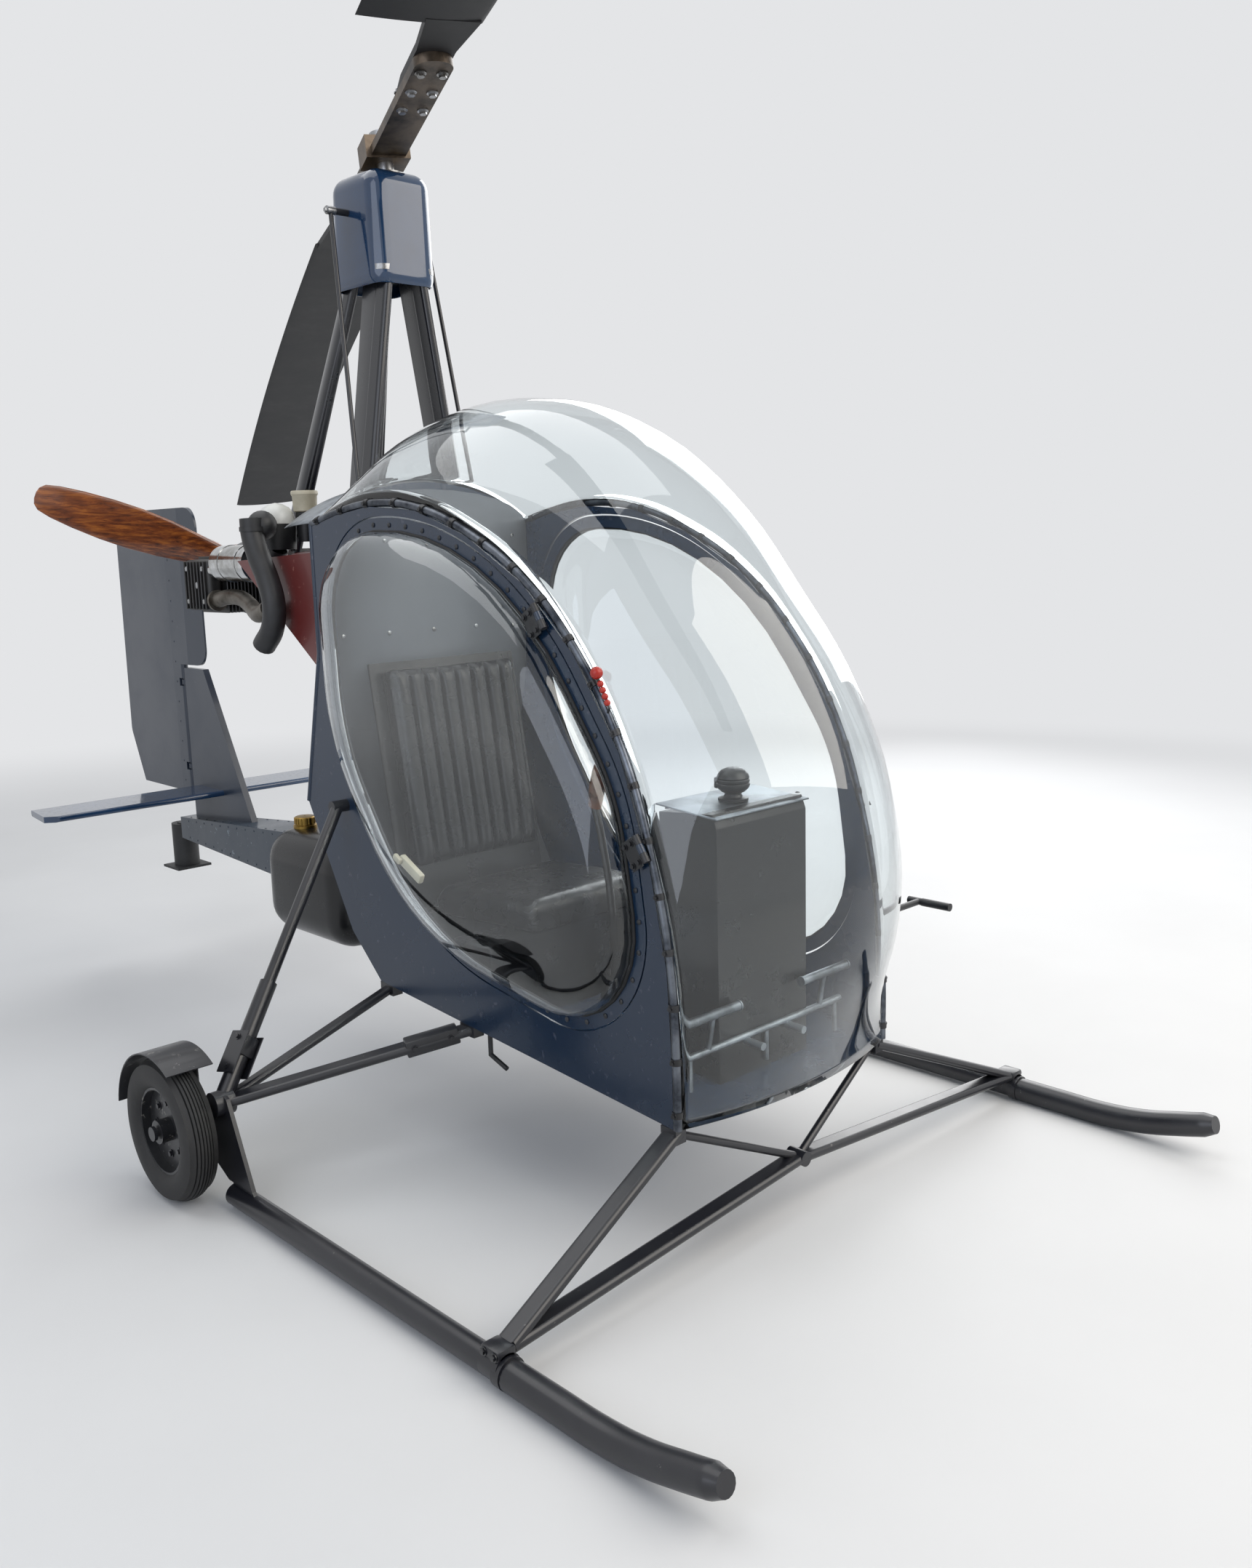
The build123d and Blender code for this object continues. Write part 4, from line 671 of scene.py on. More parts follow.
class AUTOGYRO_OT_stage(bpy.types.Operator):
    """Adds the camera, the floor, the backdrop and the soft lights"""
    bl_idname = "autogyro.stage"
    bl_label = "Stage"
    bl_options = {"REGISTER", "UNDO"}

    def execute(self, context):
        scene = context.scene
        scene.view_settings.view_transform = "Standard"
        self.camera(scene)
        self.floor(scene)
        self.world(scene)
        self.lamps(scene)
        return {"FINISHED"}

    def camera(self, scene):
        """Stands the camera where the photo was taken from."""
        spot = Vector((-2.2319, -3.2032, 1.5))
        yaw, pitch, roll = math.radians(43.66), math.radians(10.19), 0.02719
        ahead = Vector((math.sin(yaw) * math.cos(pitch), math.cos(yaw) * math.cos(pitch), -math.sin(pitch)))
        right = Vector((math.cos(yaw), -math.sin(yaw), 0))
        down = ahead.cross(right)
        right, down = (right * math.cos(roll) + down * math.sin(roll),
                       down * math.cos(roll) - right * math.sin(roll))
        lens = bpy.data.cameras.new("camera")
        lens.sensor_width = 36
        lens.lens = 31.21
        lens.clip_end = 200
        camera = bpy.data.objects.new("camera", lens)
        camera.matrix_world = Matrix.Translation(spot) @ turned_to(right, -down, -ahead)
        scene.collection.objects.link(camera)
        scene.camera = camera

    def floor(self, scene):
        """Lays the floor, which runs into the backdrop between 3.5 m and 8 m from the object."""
        stage = scene.autogyro_stage
        material, tree, shader, place = new_material("matt studio floor")
        speckle = add_node(tree, "ShaderNodeTexNoise", {"Scale": 1.2, "Detail": 4.0}, {"Vector": place})
        pale = colour(stage.floor_colour)
        tone = add_node(tree, "ShaderNodeValToRGB", links={"Fac": speckle.outputs["Fac"]},
                        stops=[(0.3, (*[part * 0.95 for part in pale[:3]], 1)), (0.7, pale)])
        tree.links.new(tone.outputs["Color"], shader.inputs["Base Color"])
        shader.inputs["Roughness"].default_value = 0.8
        away = add_node(tree, "ShaderNodeVectorMath", links={0: place}, operation="LENGTH")
        fade = add_node(tree, "ShaderNodeMapRange", {"From Min": 3.5, "From Max": 8.0},
                        {"Value": away.outputs["Value"]}, interpolation_type="SMOOTHSTEP")
        back = add_node(tree, "ShaderNodeEmission", {"Color": colour(stage.backdrop_colour), "Strength": 1.0})
        joined = add_node(tree, "ShaderNodeMixShader", links={
            0: fade.outputs["Result"], 1: shader.outputs["BSDF"], 2: back.outputs["Emission"]})
        tree.links.new(joined.outputs["Shader"], tree.nodes["Material Output"].inputs["Surface"])
        shape = bmesh.new()
        bmesh.ops.create_grid(shape, x_segments=2, y_segments=2, size=40)
        floor_mesh = bpy.data.meshes.new("floor")
        shape.to_mesh(floor_mesh)
        shape.free()
        floor_mesh.materials.append(material)
        floor = bpy.data.objects.new("floor", floor_mesh)
        scene.collection.objects.link(floor)

    def world(self, scene):
        """Shows the backdrop to the camera, through glass and in reflections, and lights the rest softly."""
        stage = scene.autogyro_stage
        world = bpy.data.worlds.new("studio")
        world.use_nodes = True
        tree = world.node_tree
        seen = add_node(tree, "ShaderNodeBackground",
                        {"Color": colour(stage.backdrop_colour), "Strength": 1.0})
        lit = tree.nodes["Background"]
        lit.inputs["Color"].default_value = colour("#E8ECF2")
        lit.inputs["Strength"].default_value = 0.42
        path = add_node(tree, "ShaderNodeLightPath")
        direct = add_node(tree, "ShaderNodeMath", links={
            0: path.outputs["Is Camera Ray"], 1: path.outputs["Is Transmission Ray"]}, operation="MAXIMUM")
        shown = add_node(tree, "ShaderNodeMath", links={
            0: direct.outputs[0], 1: path.outputs["Is Glossy Ray"]}, operation="MAXIMUM")
        both = add_node(tree, "ShaderNodeMixShader", links={
            0: shown.outputs[0], 1: lit.outputs["Background"], 2: seen.outputs["Background"]})
        tree.links.new(both.outputs["Shader"], tree.nodes["World Output"].inputs["Surface"])
        scene.world = world

    def lamps(self, scene):
        """Hangs the soft lights: each one's place, target, width and height, watts and colour."""
        key_power = scene.autogyro_stage.key_power
        for name, spot, target, size, power, shade in (
                ("key", (1.6, -5.2, 4.6), (0, -0.6, 0.9), (6.5, 5.0), key_power, "#FFF8EE"),
                ("window_side", (5.2, 1.4, 3.6), (0, 0, 1.2), (5.0, 4.6), 220.0, "#FFFFFF"),
                ("fill", (-5.4, -2.2, 3.0), (0, -0.2, 1.0), (5.0, 4.0), 100.0, "#EAF1FF"),
                ("top", (-0.5, 1.0, 6.2), (0, 0, 1.0), (6.0, 6.0), 150.0, "#FFFFFF")):
            lamp = bpy.data.lights.new(name, "AREA")
            lamp.shape = "RECTANGLE"
            lamp.size, lamp.size_y = size
            lamp.energy = power
            lamp.color = colour(shade)[:3]
            holder = bpy.data.objects.new(name, lamp)
            holder.matrix_world = aimed(spot, Vector(spot) - Vector(target))
            scene.collection.objects.link(holder)


class AUTOGYRO_OT_finishes(bpy.types.Operator):
    """Makes every finish and puts it on the CAD pieces that stay"""
    bl_idname = "autogyro.finishes"
    bl_label = "Finishes"
    bl_options = {"REGISTER", "UNDO"}

    def execute(self, context):
        make_finishes(context.scene)
        return {"FINISHED"}


class AUTOGYRO_OT_canopy(bpy.types.Operator):
    """Builds the blown canopy, its rails with clips, and the red beads on one rail"""
    bl_idname = "autogyro.canopy"
    bl_label = "Canopy"
    bl_options = {"REGISTER", "UNDO"}

    def execute(self, context):
        scene = context.scene
        self.glass(scene.autogyro_cabin)
        for side, sign in SIDES:
            self.rail(scene.autogyro_cabin, side, sign)
        self.beads()
        return {"FINISHED"}

    def glass(self, cabin):
        """Bends an arc over the two rails at each station, as high as the canopy's middle stands there."""
        middles = [Vector((0, y, z)) for y, z in RAIL]
        tops = []
        for place, middle in enumerate(middles):
            if place == 0:
                out = UP
            elif place == len(middles) - 1:
                out = -AFT
            else:
                run = middles[place + 1] - middles[place - 1]
                out = Vector((0, run.z, -run.y)).normalized()
            tops.append(middle + out * (RISE[place] + RAIL_STEP))
        rail, crown = smooth_line(middles, 5), smooth_line(tops, 5)
        count = len(rail) - 1
        half = RAIL_X - 0.002

        def dome(across, length):
            station = round(length * count)
            foot, top = rail[station], crown[station]
            rise = (top - foot).length
            out = (top - foot).normalized()
            radius = (half * half + rise * rise) / (2 * rise)
            reach = math.asin(min(half / radius, 1))
            if rise > half:
                reach = math.pi - reach
            angle = (across * 2 - 1) * reach
            lift = rise - radius + radius * math.cos(angle)
            return foot + out * lift + Vector((radius * math.sin(angle), 0, 0))

        shape = bmesh.new()
        add_grid(shape, 28, count, dome)
        face_outwards(shape)
        glass = piece("canopy_glass", shape, "airframe", "clear_window", smooth=80)
        thicken(glass, cabin.glass_wall)
        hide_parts("canopy")

    def rail(self, cabin, side, sign):
        """One rail, with a bolted clip about every 115 mm."""
        points = [Vector((sign * RAIL_X, y, z)) for y, z in RAIL]
        tube = from_mesh(f"rail_tube_{side}", swept(points, cabin.rail_radius, 6), "airframe", "bare_tube")
        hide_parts(f"canopy_rail_{side}")
        line = smooth_line(points, 6)
        out = PORT * sign
        shape = bmesh.new()
        clips = int(length_of(line) / 0.115)
        for clip in range(clips + 1):
            spot, way = along(line, (clip + 0.3) / (clips + 0.6))
            add_bar(shape, spot - way * 0.007, spot + way * 0.007, cabin.rail_radius + 0.0022, 18)
            add_bolt(shape, spot + out * (cabin.rail_radius + 0.001), out, 0.0045, 0.006)
        piece(f"rail_clips_{side}", shape, "airframe", "black_fitting")

    def beads(self):
        """A large red bead and four small ones on a stem that ends at the starboard rail."""
        shape = bmesh.new()
        spot = Vector((-0.366, -1.17, 1.235))
        run = Vector((0, -0.03, -0.06)).normalized()
        for place, radius in ((0.0, 0.0135), (0.024, 0.007), (0.038, 0.007), (0.052, 0.007), (0.066, 0.007)):
            add_lathe(shape, ball_profile(radius, 18, 0.0008), spot + run * place, run, PORT, 20)
        piece("red_beads", shape, "airframe", "red_plastic")
        shape = bmesh.new()
        add_bar(shape, spot, spot + run * 0.08, 0.0022, 10)
        add_bar(shape, spot + run * 0.078, (-0.354, -1.185, 1.148), 0.003, 10)
        piece("bead_stem", shape, "airframe", "black_fitting")


class AUTOGYRO_OT_doors(bpy.types.Operator):
    """Builds the blown door windows, their seals, screws, latches and hinge bolts"""
    bl_idname = "autogyro.doors"
    bl_label = "Doors"
    bl_options = {"REGISTER", "UNDO"}

    def execute(self, context):
        scene = context.scene
        for side, sign in SIDES:
            self.window(scene.autogyro_cabin, side, sign)
            self.rim(scene.autogyro_cabin, side, sign)
            self.hinges(side, sign)
            self.latch(side, sign)
        return {"FINISHED"}

    def window(self, cabin, side, sign):
        """The blown window: steep near its rim, then nearly flat, with its last rings drawn to the middle."""
        outline = window_line()
        count = len(outline)
        middle = Vector((-0.69, 1.04))

        def pane(around, inward):
            point, way = outline[round(around * count) % count]
            shrink = 0.19 * (1 - max(0, 1 - inward) ** 1.6)
            spot = point + way * shrink * min(1, inward * 1.4)
            if inward > 0.7:
                spot = spot.lerp(middle, (inward - 0.7) / 0.3)
            bulge = cabin.bulge * math.sin(min(inward / 0.72, 1) * math.pi / 2) ** 0.75
            return Vector((sign * (WALL_X + bulge), *spot))

        shape = bmesh.new()
        add_grid(shape, count, 22, pane, closed=True)
        bmesh.ops.dissolve_degenerate(shape, dist=1e-5, edges=shape.edges)
        face_outwards(shape)
        window = piece(f"blown_window_{side}", shape, f"door_{side}", "clear_window", smooth=80)
        thicken(window, 0.003)
        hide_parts(f"door_window_{side}")

    def rim(self, cabin, side, sign):
        """The screws round a window, and the seal at its edge."""
        face, out = sign * WALL_X, PORT * sign
        path = window_path(0.016, face)
        path.append(path[0])
        shape = bmesh.new()
        screws = int(length_of(path) / cabin.screw_pitch)
        for screw in range(screws):
            spot, way = along(path, screw / screws)
            add_screw(shape, spot, out, 0.0058, 0.0034)
        piece(f"door_screws_{side}", shape, f"door_{side}", "black_fitting")

        seal = [spot + out * 0.001 for spot in window_path(0.0, face)]
        seal.append(seal[0])
        from_mesh(f"window_seal_{side}", swept(seal, 0.0042, 1, 12, smooth=False), f"door_{side}", "seal")

    def hinges(self, side, sign):
        """Black hinge plates, four bolts each, on the door's hinge leaves."""
        out = PORT * sign
        pin_run, aft = Vector((0, 0.5363, 0.8441)), Vector((0, 0.8441, -0.5363))
        turn = turned_to(out, pin_run, out.cross(pin_run))
        shape = bmesh.new()
        for y, z in ((-1.295, 0.888), (-1.004, 1.346)):
            middle = Vector((sign * 0.3738, y, z)) + aft * 0.03
            add_box(shape, middle, (0.002, 0.064, 0.036), turn, 0.0006, 1)
            for row in (-0.021, 0.021):
                for column in (-0.009, 0.011):
                    spot = middle + pin_run * row + aft * column + out * 0.001
                    add_bolt(shape, spot, out, 0.0052, 0.0055)
        piece(f"hinge_plates_{side}", shape, f"door_{side}", "black_fitting")

    def latch(self, side, sign):
        """An ivory slide with its knob, low on the door's frame."""
        face, out = sign * WALL_X, PORT * sign
        low, high = Vector((face, -0.439, 0.738)), Vector((face, -0.521, 0.696))
        turn = aimed((0, 0, 0), out, high - low).to_3x3().to_4x4()
        shape = bmesh.new()
        add_box(shape, (low + high) / 2 + out * 0.008, ((high - low).length, 0.026, 0.016), turn, 0.004)
        add_box(shape, low + out * 0.02, (0.03, 0.016, 0.012), turn, 0.004)
        piece(f"door_latch_{side}", shape, f"door_{side}", "pale_plastic")


class AUTOGYRO_OT_seat(bpy.types.Operator):
    """Builds the channelled seat back and the cushion"""
    bl_idname = "autogyro.seat"
    bl_label = "Seat"
    bl_options = {"REGISTER", "UNDO"}
    HALF_WIDTH = 0.214

    def execute(self, context):
        scene = context.scene
        foot, top = Vector((0, -0.24, 0.64)), Vector((0, -0.15, 1.185))
        self.pad(scene, "seat_back_pad", "seat_back", foot, top, 0.06, -1, scene.autogyro_seat.channels)
        rear, front = Vector((0, -0.33, 0.545)), Vector((0, -0.76, 0.57))
        self.pad(scene, "seat_cushion_pad", "seat_cushion", rear, front, 0.07, 1, 0)
        return {"FINISHED"}

    def pad(self, scene, name, node, foot, top, depth, facing, channels):
        """A stuffed pad swollen by simulation between its edges, with its channels sewn in afterwards."""
        length = (top - foot).length
        run = (top - foot).normalized()
        out = Vector((0, run.z, -run.y)) * facing
        middle = foot + run * length / 2 + out * (depth / 2)
        shape = bmesh.new()
        core = (2 * self.HALF_WIDTH, length - 0.012, depth - 0.018)
        add_box(shape, middle, core, turned_to(PORT, run, out), 0.016, 3)
        made = piece(name, shape, "airframe", "seat_cover", smooth=0)
        add_modifier(made, "REMESH", mode="VOXEL", voxel_size=0.0055, use_smooth_shade=True)
        settle(made)
        self.swell(scene, made)
        # Wrinkles of the simulation are smoothed away, and the mesh is made fine enough for the seams
        add_modifier(made, "SMOOTH", factor=0.5, iterations=16)
        add_modifier(made, "SUBSURF", levels=1, render_levels=1)
        settle(made)
        self.sew(made, middle, run, out, length, depth, channels, scene.autogyro_seat.puff)
        made.data.shade_smooth()
        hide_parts(node)

    def swell(self, scene, made):
        """Blows the pad up as cloth. No point moves further than the cap."""
        before = [vert.co.copy() for vert in made.data.vertices]
        last_frame, cap = 20, 0.009
        cloth = made.modifiers.new("Cloth", "CLOTH")
        cloth.settings.quality = 4
        cloth.settings.use_pressure = True
        cloth.settings.uniform_pressure_force = 4.0
        cloth.settings.effector_weights.gravity = 0.0
        cloth.point_cache.frame_start = 1
        cloth.point_cache.frame_end = last_frame
        for step in range(1, last_frame + 1):
            scene.frame_set(step)
        settle(made)
        scene.frame_set(1)
        for vert, start in zip(made.data.vertices, before):
            move = vert.co - start
            if move.length > cap:
                vert.co = start + move * (cap / move.length)

    def sew(self, made, middle, run, out, length, depth, channels, puff):
        """Presses the seams in: lengthwise channels, or one cross seam near the pad's rear."""
        half = self.HALF_WIDTH
        quilted = half * 0.94
        pitch = 2 * quilted / channels if channels else 0
        for vert in made.data.vertices:
            local = vert.co - middle
            x, y, z = local.x, local.dot(run) / (length / 2), local.dot(out)
            if z < 0:
                # The underside lies flat on its plate
                vert.co += out * (-depth / 2 + 0.001 - z) * min(1, -z / (depth * 0.2))
                continue
            proud = min(1, z / (depth * 0.3))
            rim = (1 - abs(x / half) ** 6) * (1 - min(1, abs(y)) ** 8)
            if channels:
                place = (x + quilted) / pitch
                if -0.1 <= place <= channels + 0.1:
                    gap = abs(place - round(place)) * pitch
                    stitch = math.exp(-(gap / 0.0055) ** 2)
                    valley = 1 - abs(math.sin(place * math.pi))
                    vert.co -= out * proud * rim * puff * (0.6 * stitch + 0.4 * valley)
            else:
                seam = min(1, abs(y + 0.86) / 0.06)
                vert.co += out * proud * (0.006 * rim - 0.007 * (1 - seam))


class AUTOGYRO_OT_interior(bpy.types.Operator):
    """Builds the lining of the rear wall, the console's top plate and the compass"""
    bl_idname = "autogyro.interior"
    bl_label = "Cabin interior"
    bl_options = {"REGISTER", "UNDO"}

    def execute(self, context):
        self.lining()
        self.console()
        return {"FINISHED"}

    def lining(self):
        """A thin sheet on the rear wall's inner face: three panels, an arch above, two rows of screws."""
        half, arch_y, arch_z, arch_rise = 0.344, -0.1115, 1.555, 0.095
        shape = bmesh.new()
        lines = [[shape.verts.new((side * half, y, z)) for side in (-1, 1)]
                 for y, z in ((arch_y, arch_z), (-0.112, 1.24), (-0.011, 0.83), (-0.19, 0.503))]
        for above, below in zip(lines, lines[1:]):
            shape.faces.new((above[0], above[1], below[1], below[0]))
        turns = [math.radians(turn) for turn in range(-75, 76, 15)]
        rim = [shape.verts.new((math.sin(turn) * half, arch_y, arch_z + math.cos(turn) * arch_rise))
               for turn in turns]
        shape.faces.new([lines[0][0], *rim, lines[0][1]])
        face_outwards(shape)
        lining = piece("rear_wall_lining", shape, "airframe", "lining", slot="navy_panel", smooth=20)
        thicken(lining, 0.0015, offset=0)

        shape = bmesh.new()
        for x in (-0.29, -0.145, 0.0, 0.145, 0.29):
            for z in (1.52, 1.27):
                add_screw(shape, (x, arch_y - 0.002, z), -AFT, 0.006, 0.003)
        piece("lining_screws", shape, "airframe", "head_steel")

    def console(self):
        """A pale plate overhangs the console's top, tips to the nose and carries the compass."""
        y, z, slope = -1.21, 0.9185, 0.075
        shape = bmesh.new()
        add_box(shape, (0, y, z), (0.312, 0.182, 0.004), Matrix.Rotation(math.atan(slope), 4, "X"), 0.0015)
        piece("console_plate", shape, "airframe", "pale_fitting")
        shape = bmesh.new()
        for x in (-0.14, 0.14):
            for away in (-0.07, 0.07):
                add_screw(shape, (x, y + away, z + 0.002 - away * slope), UP, 0.005, 0.0025)
        piece("console_screws", shape, "airframe", "head_steel")

        shape = bmesh.new()
        profile = [
            (0.0, 0.034), (0.006, 0.034), (0.009, 0.022), (0.016, 0.018), (0.02, 0.026), (0.028, 0.035),
            (0.034, 0.0375), (0.038, 0.0375), (0.04, 0.0355), (0.043, 0.0375), (0.047, 0.0375),
            (0.049, 0.0355), (0.052, 0.0368), (0.06, 0.034), (0.068, 0.027), (0.073, 0.015), (0.0745, 0.002),
            (0.0, 0.002)]
        add_lathe(shape, profile, (0, y, z + 0.0025), UP, PORT, 36)
        add_box(shape, (0, y + 0.038, z + 0.0395), (0.034, 0.012, 0.026), None, 0.004)
        compass = piece("compass_bowl", shape, "airframe", "dial")
        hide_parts("compass")


class AUTOGYRO_OT_wheels(bpy.types.Operator):
    """Builds the ribbed tyres and the hub bolts"""
    bl_idname = "autogyro.wheels"
    bl_label = "Wheels"
    bl_options = {"REGISTER", "UNDO"}

    def execute(self, context):
        scene = context.scene
        for side, sign in SIDES:
            low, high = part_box(f"tyre_{side}")
            centre = (low + high) / 2
            radius, half = (high.z - low.z) / 2, (high.x - low.x) / 2
            # Side wall: (share of the tyre's half width, radius) from the bead out
            wall = [(0.9, 0.112), (1, 0.128), (0.985, 0.145), (0.88, 0.16)]
            wall = [(0.027, 0.1045), *[(half * share, away) for share, away in wall]]
            profile = [(-x, away) for x, away in wall]
            profile += self.tread(radius, half * 0.7, scene.autogyro_gear.ribs)
            profile += reversed(wall)
            shape = bmesh.new()
            add_lathe(shape, profile, centre, PORT, UP, 96)
            tyre = piece(f"ribbed_tyre_{side}", shape, f"wheel_{side}", "tyre_rubber", smooth=40)
            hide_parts(f"tyre_{side}")

            shape = bmesh.new()
            bolts, circle = 8, 0.062
            for bolt in range(bolts):
                turn = bolt * math.tau / bolts
                for face in (-1, 1):
                    spot = centre + Vector((face * 0.0055, math.cos(turn) * circle, math.sin(turn) * circle))
                    add_bolt(shape, spot, (face, 0, 0), 0.0065, 0.006)
            piece(f"wheel_bolts_{side}", shape, f"wheel_{side}", "strut_steel")
        return {"FINISHED"}

    def tread(self, radius, half, ribs):
        """Crowned tread of ribs with a groove of 4.5 mm after each, as (across, radius)."""
        line = []
        pitch = 2 * half / ribs
        for rib in range(ribs):
            start = -half + rib * pitch
            near, far = [radius - 0.011 * (abs(start + pitch * share) / half) ** 2.4
                         for share in (0.12, 0.72)]
            line += [(start + pitch * 0.12, near), (start + pitch * 0.72, far)]
            if rib < ribs - 1:
                line += [(start + pitch * 0.84, far - 0.0045), (start + pitch, far - 0.0045)]
        return line


class AUTOGYRO_OT_skids(bpy.types.Operator):
    """Builds the skid tubes with their bent shoes and clamps, and the plates and brackets of the legs"""
    bl_idname = "autogyro.skids"
    bl_label = "Skids"
    bl_options = {"REGISTER", "UNDO"}

    def execute(self, context):
        scene = context.scene
        gear = scene.autogyro_gear
        for side, sign in SIDES:
            x = sign * 0.873
            knee = Vector((x, -0.395, 0.243))
            self.skid(side, x, gear.skid_radius, gear.shoe_radius)
            self.clamp_bolts(side, x)
            self.strut_plates(side, knee, Vector((sign * 0.386, -0.186, 0.84)))
            self.leg_bracket(side, knee, Vector((sign * 0.345, -0.662, 0.344)))
        return {"FINISHED"}

    def skid(self, side, x, radius, shoe_radius):
        """Straight tube with an open rear end, the bent shoe at its front, and the clamp that joins them."""
        wall = 0.003
        shape = bmesh.new()
        tube = [(0, radius), (1.0, radius), (1.0, radius - wall), (0, radius - wall)]
        add_lathe(shape, tube, (x, -0.43, 0.03), -AFT, UP, 32)
        shoe = [(-1.42, 0.03), (-1.56, 0.03), (-1.68, 0.031), (-1.78, 0.042), (-1.87, 0.063), (-1.93, 0.079),
                (-1.957, 0.0865)]
        add_tube(shape, [(x, y, z) for y, z in shoe], shoe_radius, 6, 24, radii=[1, 1, 1, 1, 1, 0.98, 0.72])
        add_bar(shape, (x, -1.418, 0.0322), (x, -1.44, 0.0322), 0.032, 32)
        add_bar(shape, (x, -1.431, 0.038), (x, -1.379, 0.038), 0.0302, 28)
        add_box(shape, (x, -1.405, 0.063), (0.044, 0.052, 0.03), None, 0.006)
        skid = piece(f"skid_tube_{side}", shape, "airframe", "gear_paint")
        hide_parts(f"skid_{side}")

    def clamp_bolts(self, side, x):
        """Two bolts on each side of the clamp."""
        shape = bmesh.new()
        for y in (-1.39, -1.42):
            for face in (1, -1):
                add_bolt(shape, (x + face * 0.022, y, 0.066), (face, 0, 0), 0.006, 0.006)
        piece(f"clamp_bolts_{side}", shape, "airframe", "strut_steel")

    def strut_plates(self, side, knee, top):
        """Two flat plates box in the foot of a shock strut."""
        run = (top - knee).normalized()
        across = run.cross(AFT).normalized()
        turn = turned_to(across, run.cross(across), run)
        middle = knee + run * 0.118
        shape = bmesh.new()
        for face in (-1, 1):
            add_box(shape, middle + across * face * 0.0225, (0.003, 0.064, 0.104), turn, 0.0012, 1)
        add_box(shape, middle + run * 0.02, (0.042, 0.05, 0.05), turn, 0.006)
        for face in (-1, 1):
            for place in (-0.036, 0.036):
                add_bolt(shape, middle + run * place + across * face * 0.024, across * face, 0.0055, 0.006)
        piece(f"strut_shroud_{side}", shape, "airframe", "strut_steel")

    def leg_bracket(self, side, knee, foot):
        """A folded bracket wraps the forward tube of the rear legs near the cabin."""
        run = (knee - foot).normalized()
        across = run.cross(UP).normalized()
        middle = foot + run * 0.1
        shape = bmesh.new()
        add_box(shape, middle, (0.13, 0.046, 0.04), turned_to(run, across, run.cross(across)), 0.004)
        for place in (-0.045, 0.045):
            for face in (-1, 1):
                add_bolt(shape, middle + run * place + across * face * 0.023, across * face, 0.006, 0.006)
        piece(f"leg_bracket_{side}", shape, "airframe", "strut_steel")


class AUTOGYRO_OT_pedals(bpy.types.Operator):
    """Builds the pedals' foot bars and the control stick with its grip"""
    bl_idname = "autogyro.pedals"
    bl_label = "Pedals and stick"
    bl_options = {"REGISTER", "UNDO"}

    def execute(self, context):
        self.foot_bars()
        self.stick()
        return {"FINISHED"}

    def foot_bars(self):
        """A cross bar on three feet carries an upright with a round foot bar on each side."""
        y, z = -1.3, 0.41
        shape = bmesh.new()
        add_bar(shape, (-0.27, y, z), (0.27, y, z), 0.008, 16)
        for sign in (-1, 1):
            low, high = Vector((sign * 0.192, y, z)), Vector((sign * 0.192, -1.315, 0.49))
            add_bar(shape, low, high, 0.0065, 14)
            bar = high + UP * 0.004
            for end in (-1, 1):
                add_bar(shape, bar, bar + PORT * end * 0.082, 0.0105, 20)
                add_bar(shape, bar + PORT * end * 0.082, bar + PORT * end * 0.086, 0.012, 20)
            add_bar(shape, (sign * 0.07, y, 0.4), (sign * 0.07, -1.352, 0.398), 0.009, 18)
            add_bar(shape, (sign * 0.07, y, z), (sign * 0.07, -1.2, 0.36), 0.005, 12)
        for sign in (-1, 0, 1):
            add_bar(shape, (sign * 0.25, y, z), (sign * 0.25, y, 0.335), 0.006, 14)
        pedals = piece("foot_bars", shape, "airframe", "pale_fitting")
        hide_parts("pedals")

    def stick(self):
        """A bent shaft in a floor boot, with a grip bound in brown leather."""
        low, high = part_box("control_stick")
        y = -0.805
        shape = bmesh.new()
        shaft = [(0, y, low.z + 0.004), (0, y + 0.002, 0.6), (0, y + 0.034, 0.78), (0, y + 0.055, 0.856)]
        add_tube(shape, shaft, 0.011, 6, 16)
        boot = [(0.0, 0.034), (0.006, 0.034), (0.02, 0.026), (0.045, 0.017), (0.05, 0.012), (0.05, 0.003),
                (0.0, 0.003)]
        add_lathe(shape, boot, (0, y, low.z + 0.003), UP, PORT, 28)
        stick = piece("bent_stick", shape, "airframe", "black_shell")
        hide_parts("control_stick")
        grip = [(0, y + 0.053, 0.85), (0, y + 0.04, 0.895), (0, y + 0.018, 0.942),
                (0, y - 0.001, high.z - 0.004)]
        from_mesh("stick_grip", swept(grip, 0.023, 8, 24, radii=[0.82, 1.0, 1.08, 0.8]), "airframe",
                  "brown_leather", slot="black_shell")


